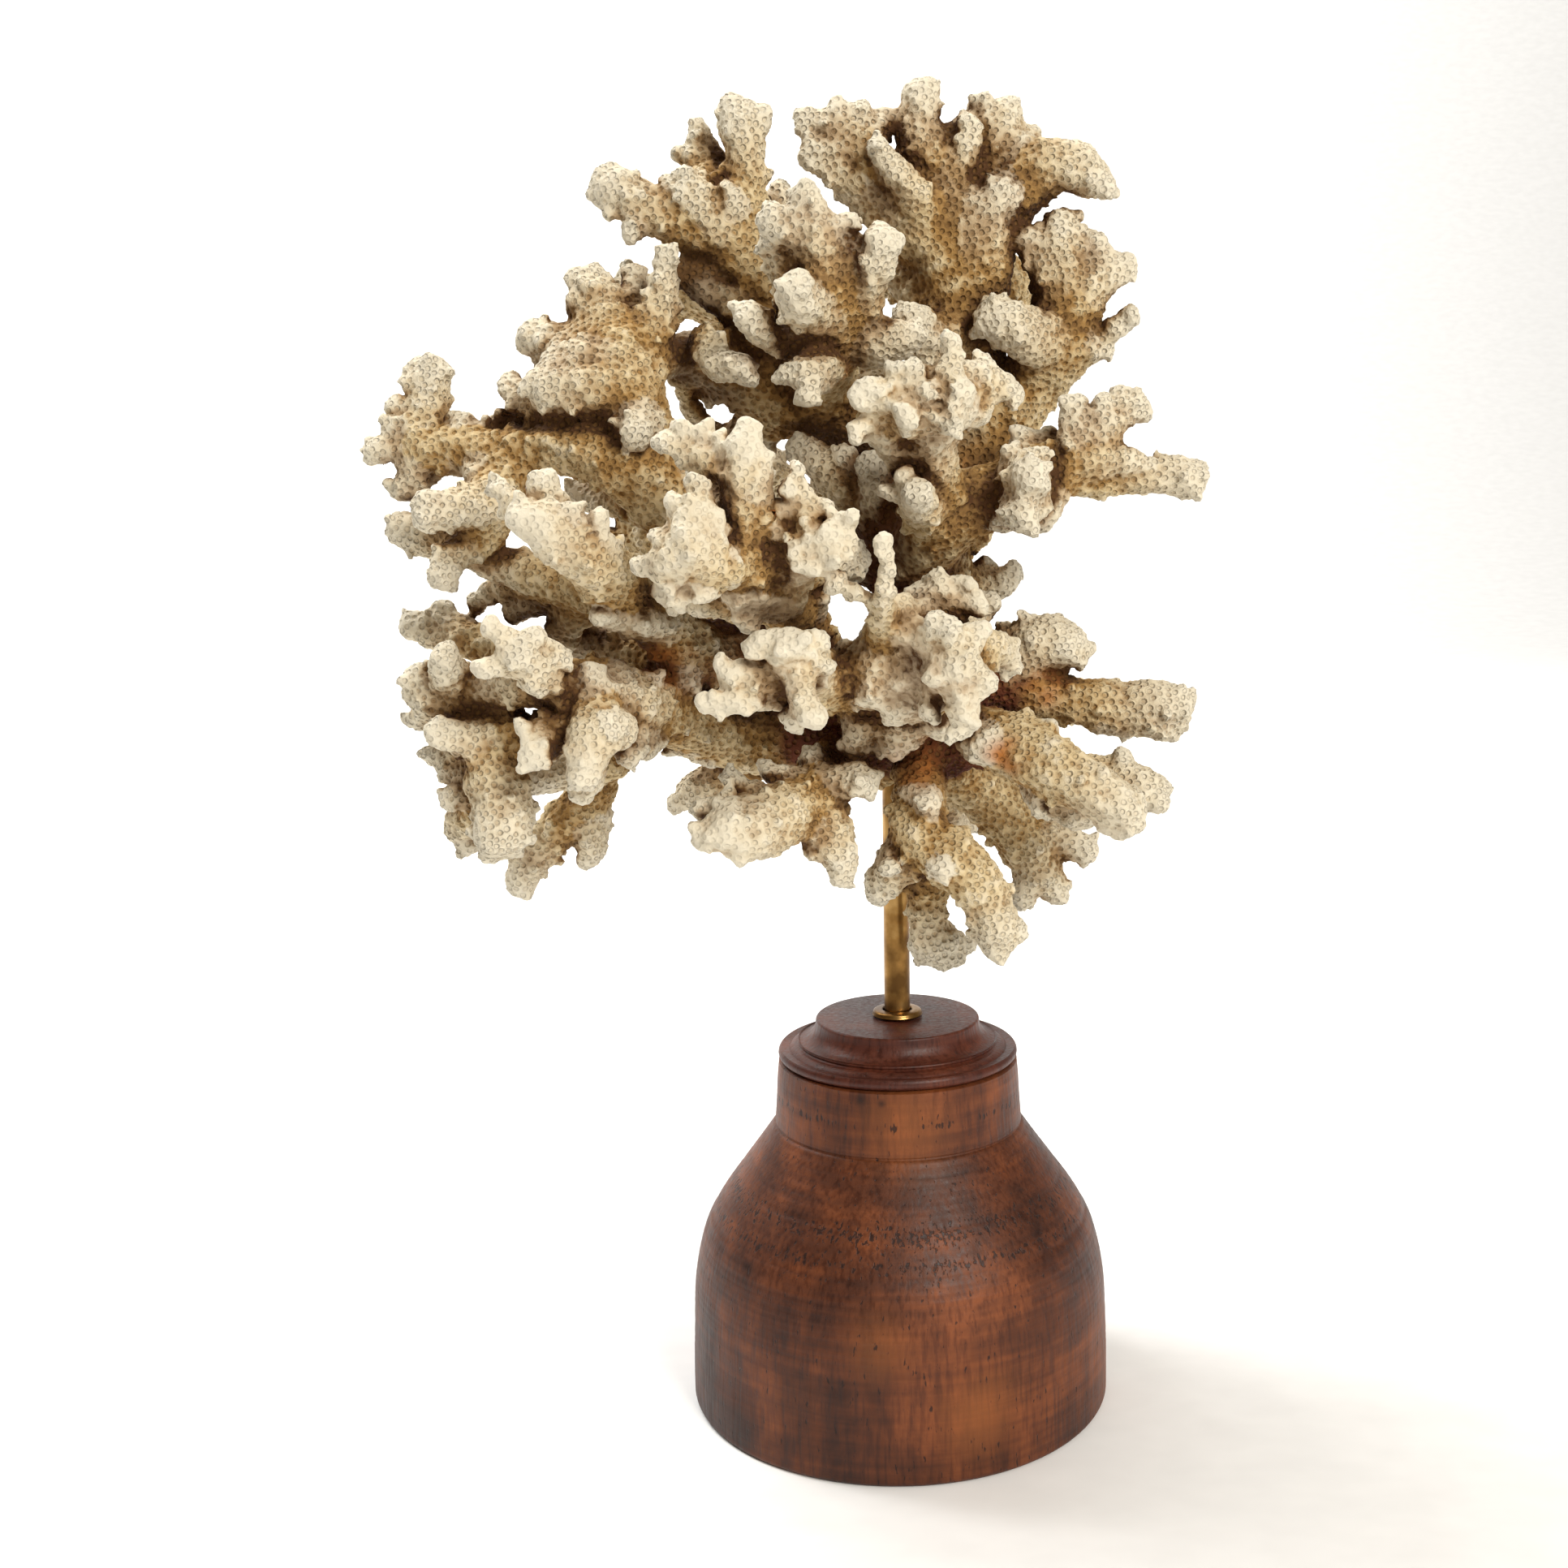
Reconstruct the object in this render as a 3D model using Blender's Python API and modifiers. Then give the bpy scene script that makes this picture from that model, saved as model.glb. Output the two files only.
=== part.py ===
"""Branching coral on a brass rod and a turned wooden stand.

Units are metres, +Z is up. The origin is the centre of the stand's underside,
and the photographed front faces -Y.
"""
import math

import bmesh
import bpy
from mathutils import Matrix, Vector

MM = 0.001

# Driving dimensions of the stand
FOOT_RADIUS = 41.0 * MM
COLLAR_HEIGHT = 67.5 * MM
CAP_HEIGHT = 75.4 * MM
CAP_RADIUS = 23.2 * MM
ROD_RADIUS = 2.5 * MM
ROD_FOOT = 55.0 * MM
ROD_TOP = 131.5 * MM
FLANGE_RADIUS = 4.9 * MM
FLANGE_HEIGHT = 1.1 * MM
CLEARANCE = 0.35 * MM
SOCKET_CLEARANCE = 0.4 * MM
TURNED_STEPS = 32
ROD_STEPS = 16

# Driving dimensions of the coral. Its bones are given in millimetres as they
# are seen from the front: across and up in the rod's plane, then the depth
# behind that plane, then the bough's radius. The eye stands at this distance
# in front of the rod and at this height.
EYE_DISTANCE = 339.5
EYE_HEIGHT = 175.1
GRAIN = 1.15 * MM
SWELL = 0.45 * MM
FORK_GAP = 0.48 * MM
AREA_PER_TRIANGLE = 21.6 * MM * MM
WELD = 0.004 * MM

# The dark core around the rod's end, with the roots of the main limbs
CORAL_STEM = [
    [(-1, 127.5, 2, 7.6), (1, 132, 2, 9), (2, 138, 2, 9.6), (4, 147, 2, 9.2),
     (6, 157, 3, 7.4), (6, 166, 2, 7), (8, 173, 0, 6.8)],
    [(0, 133, 2, 9), (-9, 131, 2, 7), (-17, 132, 0, 6.3)],
    [(2, 139, 0, 9), (-8, 140, -2, 7)],
    [(6, 161, 3, 7.6), (0, 164, 4, 5), (-4, 167.5, 4, 4.2)],
    [(2, 160, 1, 6), (-5, 161.6, -2, 3), (-9, 161.4, 0, 2.2)],
]
CROWN_LEFT_BOUGH = [
    [(8, 176, 6, 7), (0, 186, 8, 6), (-11, 190.5, 8, 6), (-21, 192.6, 6, 6.2),
     (-30, 198, 3, 5), (-37, 201, 0, 3.6)],
    [(-21, 194, 6, 5), (-22, 204, 2, 5), (-21, 212, -2, 4.8),
     (-26, 218.4, -4, 4.8), (-27, 226, -5, 4.4), (-26, 233, -5, 3.4),
     (-26.5, 240.5, -5, 4.1), (-28, 244, -5, 2.8)],
    [(-26.5, 241, -5, 4), (-23.2, 242.5, -5, 2.4)],
    [(-27, 228, -5, 4), (-34, 232, 0, 4), (-35, 238.5, 2, 3.9)],
    [(-29, 221, -4, 4), (-36, 223.6, -5, 4.2), (-44, 227.2, -6, 4.2),
     (-50, 230.4, -6, 4.4)],
    [(-45, 225, -6, 3), (-47, 223.5, -9, 2)],
    [(-34, 229, -4, 3.5), (-37.5, 231, -7, 2.8)],
    [(-22, 216, 0, 3.5), (-19.5, 225, 4, 3), (-20, 230, 5, 2)],
    [(-28, 198, 2, 4.5), (-34, 203, -9, 3.4), (-31, 199, -18, 3),
     (-27, 198.5, -20, 2.4)],
    [(-37, 201, 0, 3.4), (-38, 195, 4, 1.7), (-36, 190, 8, 1.7),
     (-31, 186, 10, 2.6), (-25, 187, 10, 4)],
    [(-30, 197, 3, 4.4), (-33.5, 194, 5, 1.4)],
]
CROWN_FRONT_BOUGH = [
    [(-13, 193, 6, 5.5), (-12, 201, -8, 5.5), (-9, 207, -18, 5.5),
     (-11, 214, -24, 5), (-13, 221, -26, 4.4), (-15.5, 228.5, -27, 2.8)],
    [(-13, 221, -26, 4), (-21, 224.8, -27, 3)],
    [(-12, 221, -26, 3.5), (-7.5, 224.3, -27, 2)],
    [(-8, 208, -18, 4.5), (-4, 214, -24, 3.5), (-1.5, 220.5, -28, 3.4)],
    [(-10, 205, -18, 5), (-16, 210, -28, 4.4), (-17, 212.5, -31, 3.4)],
    [(-12, 203, -15, 4.6), (-21.5, 204, -22, 3), (-25.8, 208, -26, 2.8)],
    [(-11, 201, -12, 5), (-14, 198, -24, 4), (-15, 195.5, -28, 3),
     (-15.5, 193.4, -30, 2.2)],
    [(-14, 198, -24, 3.5), (-18.3, 197.5, -27, 2.3)],
    [(-9, 205, -15, 5), (-2, 203, -18, 4.8), (3.5, 204, -18, 2.6)],
]
CROWN_RIGHT_BOUGH = [
    [(18, 188, 8, 6), (15, 198, 8, 6), (14, 208, 6, 6.4), (15, 217, 5, 6),
     (14, 226, 5, 5)],
    [(13, 219, 4, 4.6), (4, 227, 3, 4), (-2, 234, 2, 3.6), (-8, 239.5, 2, 3.2),
     (-13.6, 241.4, 2, 2.8)],
    [(-8, 240, 2, 2.6), (-9.5, 244.2, 1, 1.8)],
    [(-5, 237, 3, 3), (-1, 242, 4, 2.2)],
    [(-6, 239, 3, 3), (-5.4, 243.2, 2, 2.3)],
    [(-4, 236, 2, 2.5), (-14, 237.5, 0, 1.9)],
    [(-5, 231, 3, 3), (-14.8, 235.6, 1, 1.9)],
    [(12, 226, 5, 4.6), (8, 233, 4, 4), (5.5, 239, 3, 4), (6, 246, 3, 3.5)],
    [(8, 237, 4, 3), (13.6, 240.4, 5, 2.1)],
    [(13, 230, 6, 4), (12.6, 236, 6, 2.8)],
    [(15, 226, 6, 5), (18, 235, 7, 4.3), (19.5, 240, 7, 4.3),
     (17.5, 242.8, 7, 2.6)],
    [(19.5, 240, 7, 4), (21.4, 243.2, 7, 2.5)],
    [(20, 237.6, 7, 3), (26, 239.5, 8, 1.7)],
    [(15, 220, 5, 5), (22.4, 228, 6, 4.8), (28.4, 233.4, 4, 4.9),
     (34.5, 232.8, 3, 4.2), (38.4, 230.4, 2, 2.8)],
    [(14, 210, 5, 6), (6, 213, 10, 5), (0, 218, 14, 4)],
    [(12, 216, 6, 5), (4, 222, 6, 4.4), (-3.4, 228, 5, 4), (-9, 233.4, 3, 2.8)],
    [(14, 206, 6, 6), (8, 203, 0, 5), (3.5, 206, -6, 4)],
]
UPPER_RIGHT_BOUGH = [
    [(9, 172, 3, 7), (14, 182, 5, 6.5), (20, 189, 6, 6.5), (26.5, 196.4, 6, 5.8),
     (31.6, 202.6, 5, 6), (32, 210, 3, 5.4), (31, 217, 2, 4.5), (31, 223.5, 2, 2.8)],
    [(30.4, 213, 3, 4.5), (24.6, 221.4, 2, 2.3)],
    [(33, 210, 3, 5), (37, 215.5, 2, 3.6), (37, 219.5, 2, 2.8)],
    [(34, 210.6, 3, 4.8), (39, 214.3, 2, 2.9), (42.3, 215.6, 2, 2.7)],
    [(32, 202.6, 4, 4.6), (38, 203.2, 2, 2), (43.3, 206.8, 1, 2)],
    [(36, 203, 2, 2.4), (39.3, 201.6, 2, 1.7)],
    [(29, 202, 2, 5), (24, 204.5, -4, 4.6), (19, 207, -5, 4)],
]
FRONT_RIGHT_BOUGH = [
    [(9, 172, -12, 5), (10, 177, -20, 4.4), (10, 183, -27, 4.4),
     (8.5, 189, -32, 6), (5, 191, -34, 5.8)],
    [(9, 190, -32, 5.5), (11, 196, -36, 4.4), (11.5, 201, -38, 2)],
    [(10, 192, -32, 5.4), (17, 195, -30, 4.6), (21.5, 194.8, -28, 3.6),
     (23.4, 193, -27, 2)],
    [(5, 191, -34, 5.5), (-1, 193, -37, 4.5), (-4.8, 192.5, -38, 3)],
    [(-1, 194, -36, 3), (-3, 195.2, -38, 1.8)],
    [(3, 193, -36, 4), (4, 196, -39, 2.6)],
    [(11, 191, -36, 4.6), (13, 192, -40, 3.4)],
    [(9, 189, -33, 5), (12, 187.8, -38, 3.7)],
    [(3, 189, -33, 5), (-4, 187.3, -36, 2.4), (-5.8, 187.4, -36, 1.8)],
    [(2, 194.5, -36, 3), (2.4, 197.3, -37, 1.6)],
]
RIGHT_ARM = [
    [(4, 164, -2, 7), (9.5, 170.6, -10, 7), (17, 174.6, -12, 6.2),
     (24, 177, -12, 5.4), (30, 180, -12, 5.1), (36, 182.2, -13, 4.6),
     (39.6, 181.6, -13, 3.6), (43.5, 181.4, -13, 2.4), (47.5, 180.6, -12, 1.6)],
    [(30, 180, -12, 4), (36, 178, -10, 3.3), (44, 178.1, -10, 3.2),
     (51, 178.5, -10, 3.6), (54.6, 178, -10, 3.8)],
    [(34, 182, -13, 4.4), (34, 188, -14, 3.2), (33.6, 191, -14, 2.6)],
    [(37, 183, -13, 4), (38.5, 188, -14, 3), (39, 191, -14, 2.3)],
    [(38.6, 185, -13, 3.4), (42, 190.3, -12, 3.3), (44.6, 191.4, -12, 2.8)],
    [(42.5, 190, -12, 2.6), (42, 193, -12, 1.7)],
    [(24, 177, -12, 5), (24.5, 173, -20, 4), (24, 171.8, -24, 3.6)],
    [(29, 178, -12, 4), (28.5, 173, -14, 3.1), (28, 171, -14, 2.7)],
    [(20, 175, -12, 4), (20.5, 171, -16, 3.2)],
    [(27, 180, -12, 4), (26.2, 182.5, -16, 2.5)],
    [(28, 181, -11, 3), (28.5, 185.5, -9, 2)],
    [(24, 180, -11, 4), (24.5, 185, -8, 2.6)],
    [(7, 171, -12, 5), (5, 174.5, -26, 4), (4.5, 176, -36, 3.8)],
    [(6, 168, -2, 6), (-4, 173, 0, 5), (-9, 177, 0, 4.4), (-13, 181, 0, 3.4),
     (-16.6, 183.8, 0, 2.6)],
    [(-6, 175, 0, 4), (-8.5, 182.5, -2, 2.2)],
    [(-2, 173, -2, 4.4), (-4, 180.5, -6, 3)],
]
LONG_RIGHT_FINGER = [
    [(6, 140, -4, 7), (14, 140, -6, 6), (20, 140, -6, 5), (27, 138.5, -6, 4.8),
     (34, 136.8, -6, 4.5), (42, 135.3, -6, 4.7), (49, 135.3, -6, 5.1),
     (51.8, 135, -6, 4.9)],
    [(49, 133, -6, 4), (52.3, 130.8, -6, 2.3)],
    [(40, 134, -6, 4), (43.5, 131.8, -6, 2.4)],
    [(18, 142, -6, 5), (24, 145.2, -8, 5.2), (28.6, 147.9, -9, 4.9),
     (31.6, 147.3, -9, 4.7)],
    [(25, 148, -8, 3.6), (25.5, 151.2, -8, 2.2)],
    [(22, 145, -7, 3.6), (21, 149.8, -4, 1.9)],
    [(32, 147.5, -9, 4), (34.8, 145.8, -9, 2.3)],
]
LOWER_RIGHT_FRONT_BOUGH = [
    [(8, 129, -4, 7), (16, 130, -14, 5.4), (23, 128, -22, 6.2),
     (30, 123.8, -27, 5.9), (37, 119.8, -30, 5.1), (42.5, 116.4, -32, 4.6),
     (44.2, 113.8, -32, 3.6)],
    [(27, 128.5, -22, 4), (28.5, 130.8, -22, 2.2)],
    [(16, 130, -18, 4.5), (18, 128.5, -24, 3.8)],
    [(27, 120.5, -24, 3.4), (27.5, 116, -26, 1.9)],
    [(42, 115, -31, 3.6), (41.2, 112.6, -31, 2.3)],
    [(30, 122, -14, 5), (40, 121.5, -16, 4.2), (46, 120.5, -18, 4),
     (49.2, 118.5, -18, 3.7)],
    [(43, 122.5, -17, 3), (43.5, 125, -17, 1.9)],
    [(29, 119.5, -16, 4.6), (34.5, 115.5, -16, 3.5), (37.3, 114.2, -17, 2)],
]
LOWER_RIGHT_BOUGH = [
    [(8, 127, 6, 7), (14, 121.8, 10, 5.7), (20, 116.6, 12, 5.6), (24.6, 109.8, 12, 5.6),
     (26.6, 105.4, 11, 4.5), (25.4, 101, 10, 3), (24.3, 98.3, 10, 2.4)],
    [(27.4, 105, 11, 4.2), (29.8, 101, 10, 2.6), (31, 99.2, 10, 2.2)],
    [(25, 110, 12, 5), (31, 110, 11, 3.3), (36, 108.1, 10, 3)],
]
HANGING_BOUGH = [
    [(5, 130, -6, 6.4), (5, 124, -12, 5), (4.5, 117, -17, 5),
     (5, 111, -20, 5.8), (10, 107, -23, 5.5), (14.5, 103, -24, 5.4),
     (17.5, 97.5, -24, 4.6), (19.4, 92.5, -24, 4.7), (19.4, 88.8, -24, 3)],
    [(20, 92, -24, 3.4), (22.8, 92.5, -24, 2.3)],
    [(5, 111, -20, 5.5), (2, 106, -18, 4.4), (-2.6, 102.8, -16, 3.3),
     (-3.4, 99.8, -16, 2.4)],
    [(-0.5, 107, -19, 3.4), (-1.5, 104.8, -24, 1.7)],
    [(5, 108, -14, 5), (6, 101, -11, 4.2), (6, 94, -10, 3.6),
     (7, 89.5, -10, 3.8), (9, 87, -10, 3)],
    [(6, 92, -10, 3), (4.5, 89.2, -10, 2)],
    [(8, 90.5, -10, 3.2), (13.2, 89.2, -10, 1.8)],
    [(10, 87.5, -10, 2.6), (11.4, 86.8, -10, 2.1)],
    [(8, 106.5, -23, 3.6), (9.2, 104.8, -27, 2.8)],
    [(4, 118, -18, 3.8), (6.5, 117, -23, 2.6)],
]
FRONT_CENTRE_BOUGH = [
    [(4, 138, -4, 8), (6, 139, -20, 6.5), (10, 142, -34, 6.4),
     (12, 144, -44, 5.8)],
    [(12, 146, -42, 5), (10, 149.6, -44, 3.4)],
    [(12, 146, -42, 5), (16, 149, -42, 3)],
    [(14, 143, -42, 5), (16.2, 140, -42, 3.2)],
    [(11, 141, -40, 5), (13, 135.3, -40, 4.2), (12, 132, -40, 3.1)],
    [(15, 146, -37, 4), (20, 146.8, -30, 3.2), (21.5, 143.8, -26, 2.6)],
    [(6, 138, -26, 4.6), (5.5, 135, -36, 2.4)],
    [(4, 139, -22, 5), (-1, 138, -34, 3.2)],
    [(-1, 139, -24, 4), (-6, 138, -28, 2.4)],
    [(0, 142, -22, 4.4), (-4, 141.5, -28, 2.2)],
    [(3, 143, -20, 6), (-2, 149.4, -34, 4.2), (-2.2, 154, -42, 2.8),
     (-1.3, 160, -46, 1.9), (-1.3, 164, -48, 1.7), (-2, 166.6, -49, 1.3)],
    [(-2.5, 155, -42, 1.9), (-7, 157.3, -44, 1.3), (-11, 159.5, -45, 1.1)],
    [(4, 147, -18, 6), (7, 153, -28, 5), (9.5, 156.5, -32, 4.3),
     (13.4, 158.6, -33, 2.3)],
    [(8, 157, -31, 3.6), (8, 159.6, -32, 2.1)],
    [(9.5, 156, -32, 4), (15, 155, -34, 2.4)],
    [(9, 152, -10, 5), (16, 153.5, -8, 2.8), (17.6, 155, -8, 2.2)],
]
STAR_BOUGH = [
    [(-3, 137, -4, 7), (-8, 139, -18, 5.4), (-14, 142, -34, 5.4),
     (-19, 145.5, -46, 5.8), (-20, 147, -50, 5)],
    [(-17, 147, -44, 5), (-12.5, 146, -46, 4), (-12, 143, -46, 3)],
    [(-24, 146.5, -48, 3.8), (-26.6, 146.6, -48, 2.2)],
    [(-18, 143, -46, 5), (-17, 138, -48, 4), (-15, 134.3, -49, 3.6)],
    [(-17, 137, -46, 3.5), (-19.3, 133.8, -44, 2.7)],
    [(-20, 142.5, -44, 4.5), (-28, 142, -46, 3.4), (-31.3, 142.6, -46, 2.5)],
    [(-24, 140, -44, 3.6), (-30, 137.5, -46, 2.8), (-34.5, 136.8, -46, 2)],
    [(-24, 139, -44, 3), (-26, 136.3, -46, 2)],
    [(-9, 141, -20, 5), (-8.5, 145, -27, 3.2)],
]
LOWER_FRONT_BOUGH = [
    [(-3, 130, -3, 6), (-12, 125.5, -10, 5), (-15, 119, -20, 5.4),
     (-13, 112, -24, 4.6), (-10.6, 106, -25, 3.2), (-10.6, 102.9, -25, 2.2)],
    [(-14, 120, -20, 4.6), (-8, 122, -24, 3.2), (-5.6, 121.5, -25, 2.7)],
    [(-15, 118, -22, 5), (-22, 115, -28, 6.4), (-28, 112.6, -32, 6.3),
     (-31.5, 113, -34, 4.8)],
    [(-32, 112, -34, 4.4), (-36.2, 111.6, -34, 2.6)],
    [(-26, 112, -33, 4), (-30.4, 109, -34, 2.8)],
    [(-23, 117, -26, 4), (-29, 120.5, -28, 2), (-31.3, 122.5, -28, 1.3)],
    [(-30, 116, -31, 3), (-37.2, 116.7, -31, 1.5)],
    [(-17, 120, -20, 4.4), (-24, 123.5, -22, 2)],
    [(-13, 124, -13, 4), (-15.6, 125.6, -18, 2.5)],
    [(-15, 113, -25, 3.6), (-16, 108.8, -25, 2)],
]
LOWER_LEFT_BOUGH = [
    [(-16, 131.5, 0, 6.2), (-26, 129, 0, 6), (-36, 132, -6, 5.4),
     (-45, 136, -16, 6.4), (-50, 137, -24, 6.4), (-56, 138, -30, 5)],
    [(-50, 132.5, -22, 5.4), (-47.6, 129.5, -22, 3.4)],
    [(-56, 138, -30, 4.8), (-57, 131, -36, 5), (-59, 125, -38, 3.8),
     (-59.5, 122.8, -38, 3)],
    [(-53, 132, -34, 4.6), (-54.5, 132, -39, 4.2)],
    [(-58, 124, -34, 3.2), (-59.6, 120, -34, 2.4)],
    [(-57, 139, -32, 4.2), (-56.5, 141.6, -32, 2.7)],
    [(-52, 139, -28, 4.4), (-52.2, 143, -26, 2.2)],
    [(-46, 138, -20, 4), (-46, 141.2, -24, 1.9)],
    [(-50, 130.5, -26, 4), (-51, 127, -28, 2.3)],
    [(-47, 134, -12, 5), (-54.4, 126, -4, 3.2), (-58.6, 118.5, 0, 4.4),
     (-63, 114, 0, 4.5), (-68.2, 109.4, 0, 3.7), (-71.2, 104.8, 0, 3.5),
     (-72, 102.8, 0, 2.9)],
    [(-54, 126, -8, 4), (-62, 124.3, -8, 3.8), (-68.5, 122.8, -10, 3.2)],
    [(-58.6, 116, 0, 4), (-56.6, 113.8, 0, 2)],
    [(-59, 113, 0, 4), (-58.4, 108.8, 0, 2.8), (-59.6, 106.6, 0, 1.6)],
    [(-58, 135, -28, 4.4), (-66, 130, -32, 3.6), (-68.3, 127.2, -36, 3.1)],
    [(-66, 131, -32, 2.8), (-69.6, 131.8, -34, 1.6)],
    [(-35, 129, -3, 4.4), (-35, 126, -4, 1.6)],
    [(-26, 127, 4, 5), (-33, 122.4, 6, 4), (-38, 120.2, 6, 3.5),
     (-41.6, 117.6, 6, 1.9)],
    [(-38, 131, -6, 4.6), (-41.5, 129.5, -4, 2.5)],
]
FAR_LOWER_LEFT_BOUGH = [
    [(-55, 140, -24, 5.4), (-64, 141, -30, 5), (-70, 144.5, -38, 5),
     (-71, 147, -42, 4.5)],
    [(-70, 147, -40, 4), (-67.8, 149.4, -41, 3)],
    [(-72, 147.5, -40, 3.4), (-75.6, 151, -41, 1.9)],
    [(-72, 145, -40, 3.4), (-77.6, 144.4, -41, 1.8)],
    [(-73, 131, -22, 5), (-77, 135.8, -20, 4.8), (-82, 138, -20, 5),
     (-87.4, 139.2, -20, 4.9), (-89, 141.4, -20, 3.6)],
    [(-82, 140, -20, 4.4), (-84.5, 144, -26, 3.4), (-84.5, 145.5, -28, 3)],
    [(-87, 137, -18, 3.4), (-90.8, 133.8, -16, 1.9)],
    [(-61, 135.5, -24, 4.6), (-67.5, 129.8, -22, 3.8), (-74, 129.5, -22, 5), (-76, 124, -24, 6),
     (-75, 117, -26, 5.8), (-75.3, 112.4, -28, 5.2)],
    [(-76, 111.6, -27, 3.8), (-77.3, 108.6, -27, 2.3)],
    [(-76, 129, -23, 5), (-83, 131, -26, 3.5), (-86.3, 131.5, -27, 2.8)],
    [(-79, 127, -20, 4), (-84, 127.2, -16, 2.6), (-88, 127.4, -14, 2)],
    [(-78, 124, -20, 4.4), (-84.4, 123.8, -16, 2.2)],
    [(-78, 121, -20, 4.4), (-85, 119, -20, 2)],
    [(-78, 117, -18, 4.4), (-83, 114, -10, 3.2), (-82, 110.3, -10, 2.4)],
    [(-66, 142, -24, 4.4), (-74, 147, -10, 3.8), (-81, 149.5, -6, 3.7),
     (-87, 151.4, -4, 3.6), (-90, 152, -4, 2.7)],
    [(-84, 151.5, -5, 3.2), (-84.5, 154.8, -5, 2.1)],
    [(-79, 149.5, -6, 3.2), (-80.6, 151.6, -6, 1.8)],
]
LEFT_FRONT_BOUGH = [
    [(-10, 139, -2, 6.4), (-24, 144, -8, 6), (-38, 147.5, -14, 6),
     (-45, 153, -20, 5.4), (-50, 157, -26, 5.4), (-55, 162.5, -34, 5.8),
     (-61, 167.5, -38, 5.3), (-66, 170.6, -40, 4.3), (-69.2, 171.8, -40, 3.2)],
    [(-60, 169, -38, 3.6), (-60, 172.8, -40, 2.1)],
    [(-53, 163, -35, 3.2), (-54, 168, -38, 1.9), (-54.7, 171.3, -39, 1.5)],
    [(-39, 147, -14, 5.4), (-40, 142.3, -16, 4)],
    [(-38, 146, -10, 5.2), (-47, 145.6, -4, 4.8), (-55, 147.5, -2, 4.2),
     (-61, 148.5, -4, 3.4)],
    [(-47, 153, -24, 4), (-54.5, 153.5, -32, 2.3)],
    [(-40, 151, -16, 5), (-47.5, 152.5, -28, 2.4)],
    [(-50, 158, -24, 5), (-58, 158.5, -18, 4.4), (-66, 161, -14, 4.3),
     (-73, 163, -12, 3.5), (-78.5, 163.8, -12, 1.9)],
    [(-66, 160, -12, 3.6), (-73, 158.9, -6, 2.2), (-78, 156.4, -4, 1.6)],
    [(-64, 158.5, -10, 3.6), (-71, 154.6, -6, 2.4)],
    [(-58, 157, -14, 4.4), (-62, 151.5, -8, 3.4), (-59, 148, -4, 3)],
    [(-63, 171, -37, 4), (-64.6, 177.5, -36, 3.1)],
    [(-69.5, 173, -37, 2.6), (-72.8, 177.6, -34, 1.8)],
]
FAR_LEFT_BOUGH = [
    [(-10, 142, -4, 5.4), (-19.5, 149.5, -6, 5.2), (-27, 158, -9, 5.6), (-36, 167, -14, 6),
     (-43, 175, -18, 6), (-50, 181, -20, 5.8), (-58, 184, -18, 5.1),
     (-67, 184, -14, 4.3), (-74, 184, -12, 3.8), (-80, 184.6, -10, 4),
     (-86, 184.4, -8, 4.7), (-85.4, 190, -6, 4), (-85.2, 195.5, -5, 3.9),
     (-84.2, 198, -5, 3.5)],
    [(-85.8, 196, -5, 3.2), (-87, 198.2, -5, 2.2)],
    [(-86, 189, -6, 3.2), (-91, 192, -6, 1.8)],
    [(-86, 187, -8, 3.4), (-92.2, 187.8, -8, 1.5)],
    [(-86, 184.2, -8, 4), (-92, 184.6, -8, 2.6), (-95.4, 184.3, -8, 2.3)],
    [(-87, 182, -8, 4.2), (-89, 178.2, -8, 3.1), (-91.4, 177.2, -8, 2)],
    [(-80, 184, -10, 3.8), (-79, 188.6, -9, 2.6)],
    [(-75.5, 184, -11, 3.2), (-75.3, 187.5, -10, 1.9)],
    [(-70, 182, -13, 3.8), (-74, 175.5, -18, 4.2), (-80, 173.6, -22, 3.6),
     (-86, 173.4, -24, 3.7)],
    [(-44, 175, -14, 5), (-52, 175.4, -6, 3.6), (-58, 176, -4, 2.6)],
    [(-74, 175, -18, 4.4), (-76, 169.5, -16, 4.4), (-82, 168.6, -14, 4),
     (-88, 169, -12, 4), (-91.2, 169.8, -12, 3.2)],
    [(-79, 167, -16, 3.8), (-83.4, 163.6, -20, 2.9), (-84.5, 161.4, -22, 2.7)],
]
UPPER_LEFT_BOUGH = [
    [(-44, 183, -18, 5.2), (-46.6, 190, -18, 4.9), (-50, 194, -20, 5.2),
     (-56, 194.8, -20, 5.1), (-62, 195, -20, 4.5), (-64.6, 195.8, -20, 3)],
    [(-61, 193, -17, 3.8), (-67.5, 193.2, -12, 3.2), (-70.4, 196, -10, 2.2)],
    [(-48, 194, -18, 5.4), (-48.5, 201, -14, 6), (-51.5, 207, -10, 5.4),
     (-53.6, 212.4, -8, 4.4), (-55.6, 214.6, -8, 2.6)],
    [(-53, 212, -8, 3.6), (-51.6, 214.6, -8, 2.4)],
    [(-46, 202, -14, 5), (-42.5, 208, -14, 3.6), (-40.8, 213, -14, 2.8),
     (-39.3, 218, -14, 1.7)],
    [(-51, 204, -10, 5), (-59, 202.4, -8, 4), (-65.2, 204.6, -8, 3.1)],
    [(-47, 208, -8, 3.6), (-47, 215.4, -5, 1.8)],
    [(-53, 200, -12, 4.6), (-60, 201, -10, 3.5), (-63.6, 199.6, -8, 2)],
    [(-47, 189, -22, 4.2), (-47.4, 187, -26, 3.1)],
    [(-45, 200, -12, 4.6), (-39.5, 201, -4, 3.4)],
]
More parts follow.
